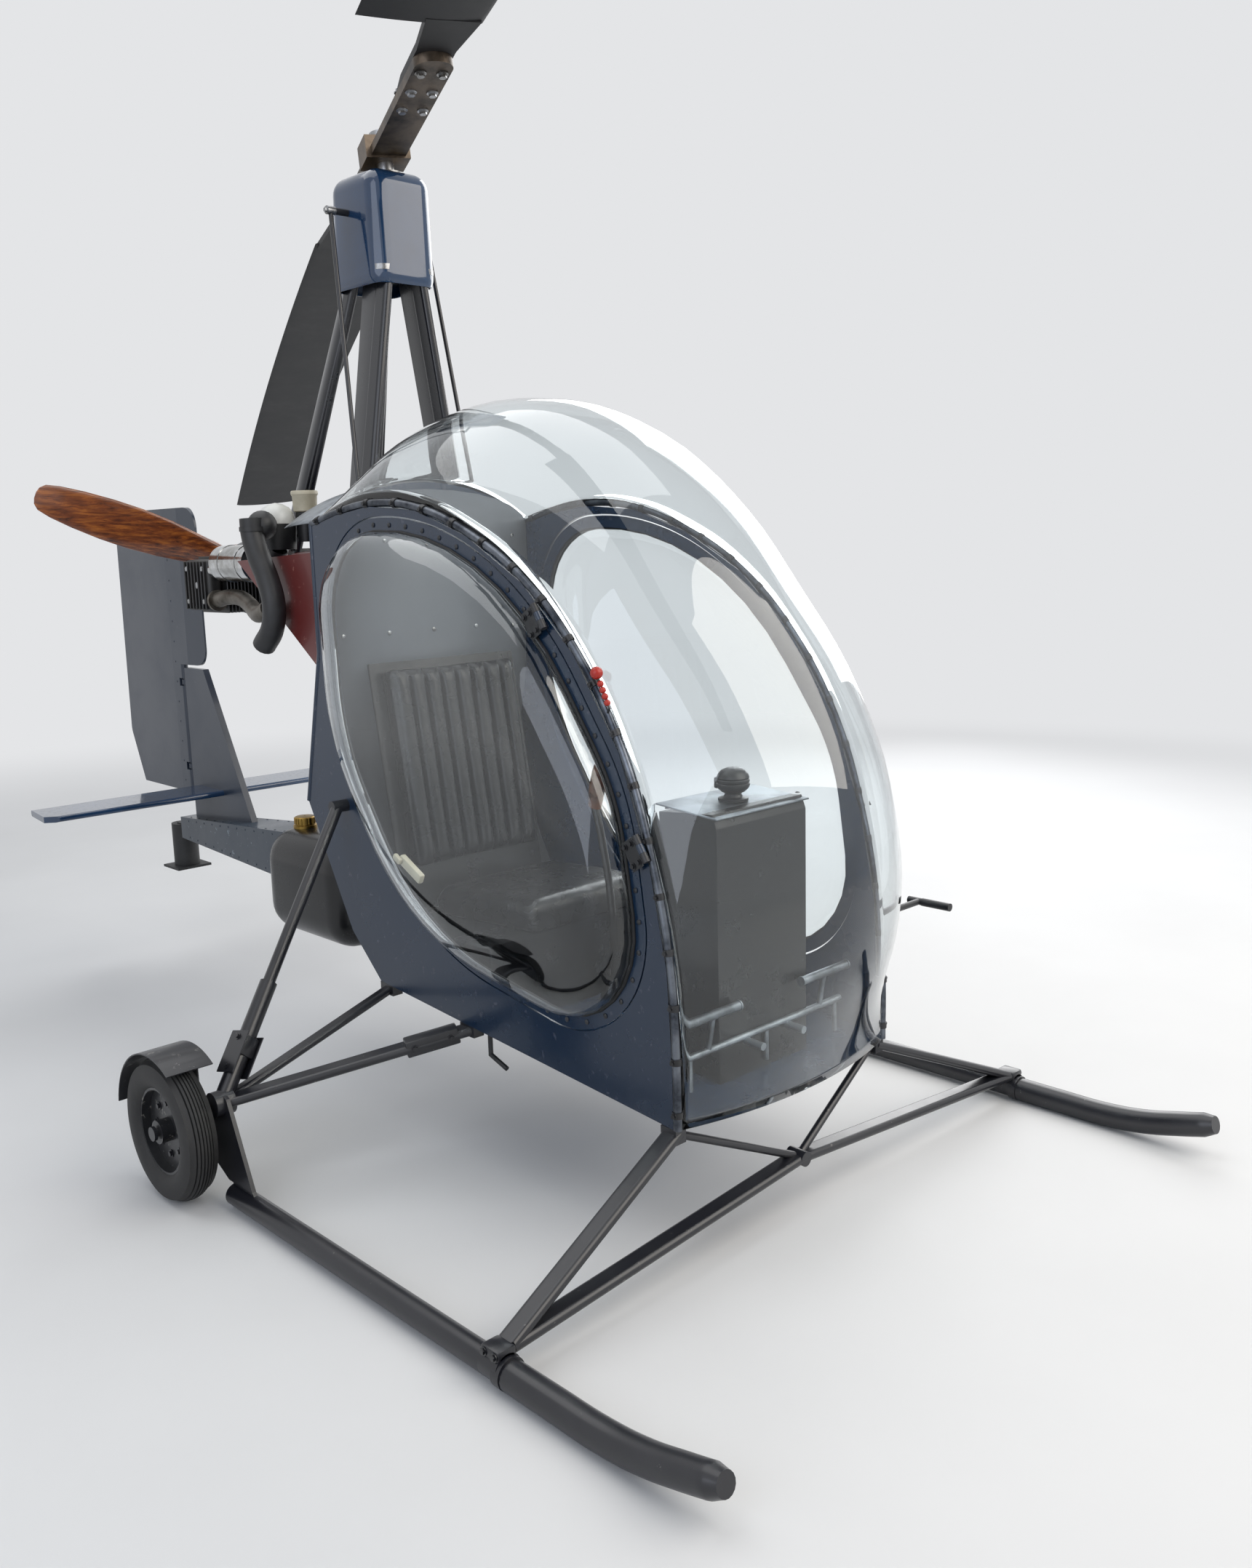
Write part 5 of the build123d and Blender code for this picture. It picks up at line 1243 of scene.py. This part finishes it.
class AUTOGYRO_OT_mast(bpy.types.Operator):
    """Builds the streamlined mast legs, the cover of the rotor head with its top plate, and the rod ends"""
    bl_idname = "autogyro.mast"
    bl_label = "Mast and cover"
    bl_options = {"REGISTER", "UNDO"}

    def execute(self, context):
        self.legs()
        self.cover()
        self.rod_ends()
        self.cover_plate()
        return {"FINISHED"}

    def legs(self):
        """Each leg is a streamlined section drawn from foot to top; the front ones stand on pads."""
        shape = bmesh.new()
        depth = 0.028
        # Each leg's foot, top and chord, on the port side
        table = [((0.15, -0.016, 1.6), (0.052, -0.014, 2.24), 0.124),
                 ((0.15, 0.38, 1.502), (0.052, 0.105, 2.24), 0.056)]
        for sign in (-1, 1):
            for foot, top, chord in table:
                foot = Vector((sign * foot[0], *foot[1:]))
                top = Vector((sign * top[0], *top[1:]))
                run = (top - foot).normalized()
                fore = (run * AFT.dot(run) - AFT).normalized()
                side = run.cross(fore)

                def skin(around, length):
                    angle = around * math.tau
                    share = (1 - math.cos(angle)) / 2
                    across = math.copysign(depth * streamlined(share), math.sin(angle))
                    return foot + (top - foot) * length + fore * chord * (0.5 - share) + side * across

                add_grid(shape, 24, 1, skin, closed=True)
                close_ends(shape)
        for sign in (-1, 1):
            add_box(shape, (sign * 0.152, -0.055, 1.603), (0.05, 0.085, 0.014), None, 0.004)
        face_outwards(shape)
        piece("mast_fairings", shape, "airframe", "mast_paint", smooth=50)

    def cover(self):
        """A moulded box, open below, with round corners and a top that is narrower fore and aft."""
        low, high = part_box("head_cover")
        foot = low.z
        # It starts 20 mm too low, so that the rounding of its foot is cut away
        low.z -= 0.02
        box = Matrix.Translation((low + high) / 2) @ Matrix.Diagonal((*(high - low), 1))
        shape = bmesh.new()
        bmesh.ops.create_cube(shape, size=1, matrix=box)
        for vert in shape.verts:
            if vert.co.z > foot + 0.1:
                vert.co.y = 0.03 + (vert.co.y - 0.03) * 0.92
        bmesh.ops.bevel(shape, geom=list(shape.edges), offset=0.046, affect="EDGES", segments=8, profile=0.5,
                        material=-1)
        cut_off(shape, (0, 0, foot), -UP)
        cover = piece("moulded_cover", shape, "airframe", "cover_gloss", smooth=60)
        thicken(cover, 0.003)
        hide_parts("head_cover")

    def rod_ends(self):
        """A bolted eye at the top of each control rod and a nut at its foot."""
        shape = bmesh.new()
        for sign in (-1, 1):
            eye = Vector((sign * 0.1495, 0.044, 2.372))
            add_bar(shape, eye - PORT * 0.012, eye + PORT * 0.012, 0.011, 20)
            add_bolt(shape, eye + PORT * sign * 0.012, (sign, 0, 0), 0.0065, 0.006)
            add_bar(shape, (sign * 0.196, -0.091, 1.54), (sign * 0.194, -0.085, 1.575), 0.008, 6)
        piece("rod_ends", shape, "airframe", "head_steel")

    def cover_plate(self):
        """A brass plate on the cover's top, under the rotor head."""
        shape = bmesh.new()
        add_box(shape, (0, 0.028, 2.4745), (0.1, 0.12, 0.005), None, 0.002)
        piece("cover_plate", shape, "airframe", "brass")


class AUTOGYRO_OT_engine(bpy.types.Operator):
    """Builds the finned cylinders, exhausts and silencer barrels, and the filter, dome and jar over them"""
    bl_idname = "autogyro.engine"
    bl_label = "Engine"
    bl_options = {"REGISTER", "UNDO"}
    # The cylinders lie on one line across the hull, at this y and z
    LINE = (0.64, 1.4)

    def execute(self, context):
        scene = context.scene
        for side, sign in SIDES:
            self.cylinder(side, sign, scene.autogyro_engine.cooling_fins)
            self.head_nuts(side, sign)
            self.exhaust(side, sign)
            self.barrel(side, sign)
        self.filter_and_dome()
        self.jar()
        elbow = [(-0.275, 0.215, 1.5), (-0.277, 0.23, 1.478), (-0.286, 0.265, 1.466), (-0.29, 0.32, 1.463)]
        from_mesh("intake_elbow", swept(elbow, 0.026, 6, 20), "airframe", "hose_black")
        return {"FINISHED"}

    def cylinder(self, side, sign, fins):
        """Barrel with square fins, and a head with seven upright fins on its end."""
        y, z = self.LINE
        shape = bmesh.new()
        add_bar(shape, (sign * 0.1, y, z), (sign * 0.262, y, z), 0.066, 32)
        inner, outer = 0.108, 0.256
        for fin in range(fins):
            x = sign * (inner + (outer - inner) * fin / (fins - 1))
            add_box(shape, (x, y, z), (0.0042, 0.168, 0.168), None, 0.0018, 1)
        add_box(shape, (sign * 0.29, y, z), (0.044, 0.15, 0.15), None, 0.014, 3)
        for fin in range(-3, 4):
            add_box(shape, (sign * 0.307, y + fin * 0.02, z), (0.026, 0.005, 0.142), None, 0.002, 1)
        cylinder = piece(f"finned_cylinder_{side}", shape, "airframe", "cylinder_black", slot="engine_alloy")
        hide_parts(f"cylinder_{side}")

    def head_nuts(self, side, sign):
        """Four nuts at the head's corners and the hexagon of the plug between them."""
        y, z = self.LINE
        shape = bmesh.new()
        for up in (-0.048, 0.048):
            for aft in (-0.048, 0.048):
                add_bolt(shape, (sign * 0.311, y + aft, z + up), (sign, 0, 0), 0.0075, 0.008)
        add_bar(shape, (sign * 0.305, y - 0.01, z), (sign * 0.318, y - 0.01, z), 0.01, 6)
        piece(f"head_nuts_{side}", shape, "airframe", "head_steel")

    def exhaust(self, side, sign):
        """A steel header runs forward from its flange, and a black stack bends round its front end."""
        header = [(0.29, 0.561, 1.355), (0.29, 0.5, 1.365), (0.292, 0.42, 1.364), (0.31, 0.33, 1.345),
                  (0.345, 0.24, 1.33), (0.38, 0.15, 1.328), (0.389, 0.09, 1.345)]
        shape = bmesh.new()
        add_tube(shape, [(sign * x, y, z) for x, y, z in header], 0.0225, 6, 24)
        add_bar(shape, (sign * 0.29, 0.566, 1.355), (sign * 0.29, 0.556, 1.355), 0.031, 28)
        piece(f"exhaust_header_{side}", shape, "airframe", "exhaust_steel")

        x = sign * 0.39
        stack = [(0.145, 1.582), (0.143, 1.54), (0.118, 1.48), (0.08, 1.42), (0.058, 1.355), (0.072, 1.295),
                 (0.125, 1.245)]
        shape = bmesh.new()
        add_tube(shape, [(x, y, z) for y, z in stack], 0.031, 6, 24)
        add_bar(shape, (x, 0.144, 1.548), (x, 0.144, 1.56), 0.0335, 28)
        exhaust = piece(f"bent_stack_{side}", shape, "airframe", "hose_black", slot="exhaust_steel")
        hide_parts(f"exhaust_{side}")

    def barrel(self, side, sign):
        """A polished barrel over the cylinder, with two bands round it."""
        centre = (sign * 0.29, 0.403, 1.462)
        profile = [(-0.095, 0.03), (-0.09, 0.044), (-0.078, 0.0515), (0.078, 0.0515), (0.09, 0.044),
                   (0.095, 0.03), (0.094, 0.002), (-0.094, 0.002)]
        shape = bmesh.new()
        add_lathe(shape, profile, centre, AFT, UP, 48)
        for y in (-0.05, 0.05):
            band = [(y - 0.006, 0.052), (y - 0.006, 0.0535), (y + 0.006, 0.0535), (y + 0.006, 0.052)]
            add_lathe(shape, band, centre, AFT, UP, 48)
        piece(f"silencer_barrel_{side}", shape, "airframe", "chrome", slot="engine_alloy")

    def filter_and_dome(self):
        """A black ball on the starboard side, and a white dome on its black base."""
        shape = bmesh.new()
        add_lathe(shape, ball_profile(0.04, 15, 0.001), (-0.356, 0.15, 1.563), UP, PORT, 32)
        piece("filter_ball", shape, "airframe", "hose_black")

        spot = (-0.275, 0.215, 1.568)
        shape = bmesh.new()
        dome = [(0.0, 0.052), (0.012, 0.052), (0.03, 0.047), (0.044, 0.036), (0.053, 0.02), (0.057, 0.002),
                (0.0, 0.002)]
        add_lathe(shape, dome, spot, UP, PORT, 40)
        piece("white_dome", shape, "airframe", "white_dome")
        shape = bmesh.new()
        base = [(-0.07, 0.03), (-0.07, 0.05), (-0.006, 0.053), (-0.001, 0.053), (-0.001, 0.002),
                (-0.066, 0.002)]
        add_lathe(shape, base, spot, UP, PORT, 40)
        piece("dome_base", shape, "airframe", "hose_black")

    def jar(self):
        """A small ivory jar with a wide lid, on a black neck."""
        spot = (-0.212, 0.165, 1.598)
        shape = bmesh.new()
        jar = [(0.0, 0.026), (0.003, 0.032), (0.044, 0.034), (0.048, 0.037), (0.055, 0.037), (0.058, 0.035),
               (0.059, 0.002), (0.0, 0.002)]
        add_lathe(shape, jar, spot, UP, PORT, 40)
        piece("reservoir_jar", shape, "airframe", "pale_plastic")
        shape = bmesh.new()
        neck = [(-0.08, 0.002), (-0.08, 0.024), (-0.001, 0.027), (-0.001, 0.002)]
        add_lathe(shape, neck, spot, UP, PORT, 32)
        piece("jar_neck", shape, "airframe", "hose_black")


class AUTOGYRO_OT_body_trim(bpy.types.Operator):
    """Builds the tank with its cap, the strip behind the canopy, the corner mouldings and the rivets"""
    bl_idname = "autogyro.body_trim"
    bl_label = "Body trim"
    bl_options = {"REGISTER", "UNDO"}

    def execute(self, context):
        self.tank()
        self.tank_cap()
        self.rear_strip()
        for side, sign in SIDES:
            edge = [(sign * 0.3565, -0.1, 1.56), (sign * 0.3565, -0.1, 1.23), (sign * 0.3565, *REAR_BULGE)]
            from_mesh(f"corner_moulding_{side}", swept(edge, 0.0075, 2, 16, smooth=False), "airframe",
                      "navy_panel")
        self.boom_rivets()
        self.rudder_rivets()
        return {"FINISHED"}

    def tank(self):
        """A blow-moulded tank with round corners, whose front follows the sloping rear wall."""
        low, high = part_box("fuel_tank")
        # The box's top is that of its cap
        high.z = 0.705
        shape = bmesh.new()
        add_box(shape, (low + high) / 2, high - low, None, 0.088, 9)
        slope = (0, -0.865, 0.502)
        rim = cut_off(shape, (0, 0.006, 0.83), slope)
        bmesh.ops.holes_fill(shape, edges=rim, sides=0)
        tank = piece("moulded_tank", shape, "airframe", "black_shell", smooth=50)
        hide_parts("fuel_tank")

    def tank_cap(self):
        """A brass cap with upright ridges for the fingers."""
        cap = Vector((-0.2375, 0.238, 0.7))
        profile = [(0.0, 0.034), (0.012, 0.034), (0.014, 0.03), (0.034, 0.03), (0.0365, 0.027),
                   (0.038, 0.002), (0.0, 0.002)]
        shape = bmesh.new()
        add_lathe(shape, profile, cap, UP, PORT, 36)
        ridges = 18
        for ridge in range(ridges):
            turn = ridge * math.tau / ridges
            spot = cap + Vector((math.cos(turn) * 0.0302, math.sin(turn) * 0.0302, 0.025))
            add_box(shape, spot, (0.003, 0.003, 0.018), Matrix.Rotation(turn, 4, "Z"), 0.001, 1)
        piece("tank_cap", shape, "airframe", "brass")

    def rear_strip(self):
        """A bright strip round the top of the rear wall, on the arc of the canopy's rear end."""
        half, rise = 0.352, RISE[0] + RAIL_STEP
        radius = (half * half + rise * rise) / (2 * rise)
        middle_z = 1.56 + rise - radius

        def strip(across, width):
            angle = (across * 2 - 1) * math.asin(half / radius)
            out = radius + 0.0035 - 0.012 * width ** 2
            return Vector((math.sin(angle) * out, -0.108 + 0.16 * width, middle_z + math.cos(angle) * out))

        shape = bmesh.new()
        add_grid(shape, 32, 4, strip)
        face_outwards(shape)
        fairing = piece("rear_strip", shape, "airframe", "pale_fitting", slot="bare_tube", smooth=60)
        thicken(fairing, 0.0015, offset=0)

    def boom_rivets(self):
        """Rows of rivets along the boom's four corners, which draw together towards the tail."""
        # The boom tapers from here over this length; each pair is its measure at the front and at the rear
        front_y, length = -0.24, 1.695
        half, top, bottom = (0.127, 0.042), (0.672, 0.546), (0.424, 0.468)
        first, run, rows, edge = -0.03, 1.45, 22, 0.012
        shape = bmesh.new()
        for row in range(rows):
            y = first + (row + 0.5) / rows * run
            share = (y - front_y) / length
            x, high, low = [near + (far - near) * share for near, far in (half, top, bottom)]
            for sign in (-1, 1):
                add_screw(shape, (sign * (x - edge), y, high), (0, 0.07, 1), 0.0035, 0.0016)
                for z in (high - edge, low + edge):
                    add_screw(shape, (sign * x, y, z), (sign, 0.05, 0), 0.0035, 0.0016)
        piece("boom_rivets", shape, "airframe", "boom_skin")

    def rudder_rivets(self):
        """One row of rivets up each face of the rudder."""
        shape = bmesh.new()
        for row in range(14):
            for sign in (-1, 1):
                add_screw(shape, (sign * 0.013, 1.45, 0.68 + row * 0.072), (sign, 0, 0), 0.0032, 0.0014)
        piece("rudder_rivets", shape, "rudder", "tail_blue")


class AUTOGYRO_OT_propeller(bpy.types.Operator):
    """Carves the wooden propeller and bolts its hub"""
    bl_idname = "autogyro.propeller"
    bl_label = "Propeller"
    bl_options = {"REGISTER", "UNDO"}
    # Each section: distance from the hub, chord, thickness, twist in degrees
    SECTIONS = [
        (0.0, 0.075, 0.058, 88), (0.06, 0.084, 0.05, 60), (0.12, 0.102, 0.042, 45),
        (0.19, 0.112, 0.033, 38), (0.28, 0.128, 0.026, 30), (0.38, 0.135, 0.02, 24),
        (0.47, 0.13, 0.016, 20), (0.56, 0.116, 0.013, 17), (0.63, 0.098, 0.01, 15),
        (0.67, 0.078, 0.008, 13.5), (0.685, 0.05, 0.006, 13), (0.6895, 0.02, 0.004, 13),
    ]

    def execute(self, context):
        way = Vector((-math.cos(PROPELLER_TILT), 0, math.sin(PROPELLER_TILT)))
        shape = bmesh.new()
        for sign in (1, -1):
            self.add_blade(shape, way * sign)
        close_ends(shape)
        boss = [(-0.03, 0.0181), (-0.03, 0.066), (-0.026, 0.07), (0.026, 0.07), (0.03, 0.066), (0.03, 0.0181)]
        add_lathe(shape, boss, PROPELLER_HUB, AFT, UP, 48)
        face_outwards(shape)
        airscrew = piece("carved_propeller", shape, "airscrew", "prop_wood", smooth=50)
        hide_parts("propeller")

        shape = bmesh.new()
        plate = [(0.0302, 0.0185), (0.0302, 0.058), (0.0352, 0.056), (0.0352, 0.0185)]
        add_lathe(shape, plate, PROPELLER_HUB, AFT, UP, 40)
        bolts, circle = 6, 0.044
        for bolt in range(bolts):
            turn = bolt * math.tau / bolts
            spot = PROPELLER_HUB + Vector((math.cos(turn) * circle, 0.035, math.sin(turn) * circle))
            add_bolt(shape, spot, AFT, 0.007, 0.008)
        piece("propeller_plate", shape, "airscrew", "head_steel")
        return {"FINISHED"}

    def add_blade(self, shape, run):
        """One blade, from section to section. Its rear face is fuller than its front."""
        side = run.cross(AFT)

        def skin(around, length):
            place = length * (len(self.SECTIONS) - 1)
            index = min(int(place), len(self.SECTIONS) - 2)
            share = place - index
            distance, chord, thick, twist = [
                a + (b - a) * share for a, b in zip(self.SECTIONS[index], self.SECTIONS[index + 1])]
            turn = math.radians(twist)
            edge = side * math.cos(turn) + AFT * math.sin(turn)
            face = run.cross(edge)
            angle = around * math.tau
            x = math.cos(angle) * chord / 2
            y = math.sin(angle) * thick / 2 * (1.15 if math.sin(angle) > 0 else 0.75)
            return PROPELLER_HUB + run * distance + edge * x + face * y

        add_grid(shape, 28, 33, skin, closed=True)


class AUTOGYRO_OT_rotor(bpy.types.Operator):
    """Builds the rotor blades with their root straps and bolts"""
    bl_idname = "autogyro.rotor"
    bl_label = "Rotor"
    bl_options = {"REGISTER", "UNDO"}

    def execute(self, context):
        scene = context.scene
        spin = Vector((0, math.sin(ROTOR_TILT), math.cos(ROTOR_TILT)))
        front = Vector((-math.sin(ROTOR_AZIMUTH), -math.cos(ROTOR_AZIMUTH), 0))
        front = (front - spin * front.dot(spin)).normalized()
        lead = spin.cross(front)
        for name, run, side in (("blade_forward", front, lead), ("blade_aft", -front, -lead)):
            self.blade(name, run, side, spin, scene.autogyro_rotor.blade_chord)
        return {"FINISHED"}

    def blade(self, name, run, side, spin, chord):
        """One blade, drooping past its root, on a strap that is bolted to the hub bar."""
        level, droop_from = 0.0193, 0.59
        root, span, thickness, ahead = 0.73, 2.768, 0.03, 0.07

        def middle(distance):
            past = max(0, distance - droop_from)
            return ROTOR_HUB + run * distance + spin * level - UP * (0.0497 * past + 0.0297 * past * past)

        def skin(around, length):
            angle = around * math.tau
            share = (1 - math.cos(angle)) / 2
            lift = thickness * streamlined(share) * (1 if math.sin(angle) > 0 else -0.8)
            return middle(root + span * length) + side * (ahead - share * chord) + spin * lift

        shape = bmesh.new()
        add_grid(shape, 32, 24, skin, closed=True)
        close_ends(shape)
        self.add_strap(shape, middle, side, spin)
        face_outwards(shape)
        blade = piece(f"{name}_skin", shape, "rotor", "blade_skin", smooth=40)
        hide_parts(name)

        shape = bmesh.new()
        for distance in (0.33, 0.43, 0.53):
            for across in (-0.026, 0.026):
                spot = middle(distance) + side * across
                add_bolt(shape, spot + spin * 0.008, spin, 0.0095, 0.01)
                add_bolt(shape, spot - spin * 0.0305, -spin, 0.0095, 0.01)
        piece(f"{name}_bolts", shape, "rotor", "head_steel")

    def add_strap(self, shape, middle, side, spin):
        """Root strap, a plate on the bar that widens to the blade."""
        half_depth = 0.008
        rows = []
        for distance, half_width in ((0.31, 0.034), (0.43, 0.046), (0.59, 0.046), (0.75, 0.062)):
            spot = middle(distance)
            rows.append([shape.verts.new(spot + side * half_width * across + spin * half_depth * height)
                         for across, height in ((-1, -1), (1, -1), (1, 1), (-1, 1))])
        for near, far in zip(rows, rows[1:]):
            for corner in range(4):
                after = (corner + 1) % 4
                shape.faces.new((near[corner], near[after], far[after], far[corner]))
        shape.faces.new(rows[0])
        shape.faces.new(rows[-1])


OPERATORS = (
    AUTOGYRO_OT_finishes, AUTOGYRO_OT_stage, AUTOGYRO_OT_canopy, AUTOGYRO_OT_doors, AUTOGYRO_OT_seat,
    AUTOGYRO_OT_interior, AUTOGYRO_OT_wheels, AUTOGYRO_OT_skids, AUTOGYRO_OT_pedals, AUTOGYRO_OT_mast,
    AUTOGYRO_OT_engine, AUTOGYRO_OT_body_trim, AUTOGYRO_OT_propeller, AUTOGYRO_OT_rotor,
)


class AUTOGYRO_PT_panel(bpy.types.Panel):
    """Lists the operators, and the sizes and colours that a user would change."""
    bl_label = "Autogyro"
    bl_idname = "AUTOGYRO_PT_panel"
    bl_space_type = "VIEW_3D"
    bl_region_type = "UI"
    bl_category = "Autogyro"

    def draw(self, context):
        for kind in OPERATORS:
            self.layout.operator(kind.bl_idname)
        for name in GROUPS:
            group = getattr(context.scene, name)
            box = self.layout.box()
            for prop in group.bl_rna.properties:
                if prop.identifier not in ("rna_type", "name"):
                    box.prop(group, prop.identifier)


CLASSES = (*GROUPS.values(), *OPERATORS, AUTOGYRO_PT_panel)


def register():
    for kind in CLASSES:
        bpy.utils.register_class(kind)
    for name, kind in GROUPS.items():
        setattr(bpy.types.Scene, name, bpy.props.PointerProperty(type=kind))


def unregister():
    for name in GROUPS:
        delattr(bpy.types.Scene, name)
    for kind in reversed(CLASSES):
        bpy.utils.unregister_class(kind)


def main():
    register()
    bpy.ops.autogyro.finishes()
    bpy.ops.autogyro.stage()
    bpy.ops.autogyro.canopy()
    bpy.ops.autogyro.doors()
    bpy.ops.autogyro.seat()
    bpy.ops.autogyro.interior()
    bpy.ops.autogyro.wheels()
    bpy.ops.autogyro.skids()
    bpy.ops.autogyro.pedals()
    bpy.ops.autogyro.mast()
    bpy.ops.autogyro.engine()
    bpy.ops.autogyro.body_trim()
    bpy.ops.autogyro.propeller()
    bpy.ops.autogyro.rotor()


if __name__ == "__main__":
    main()
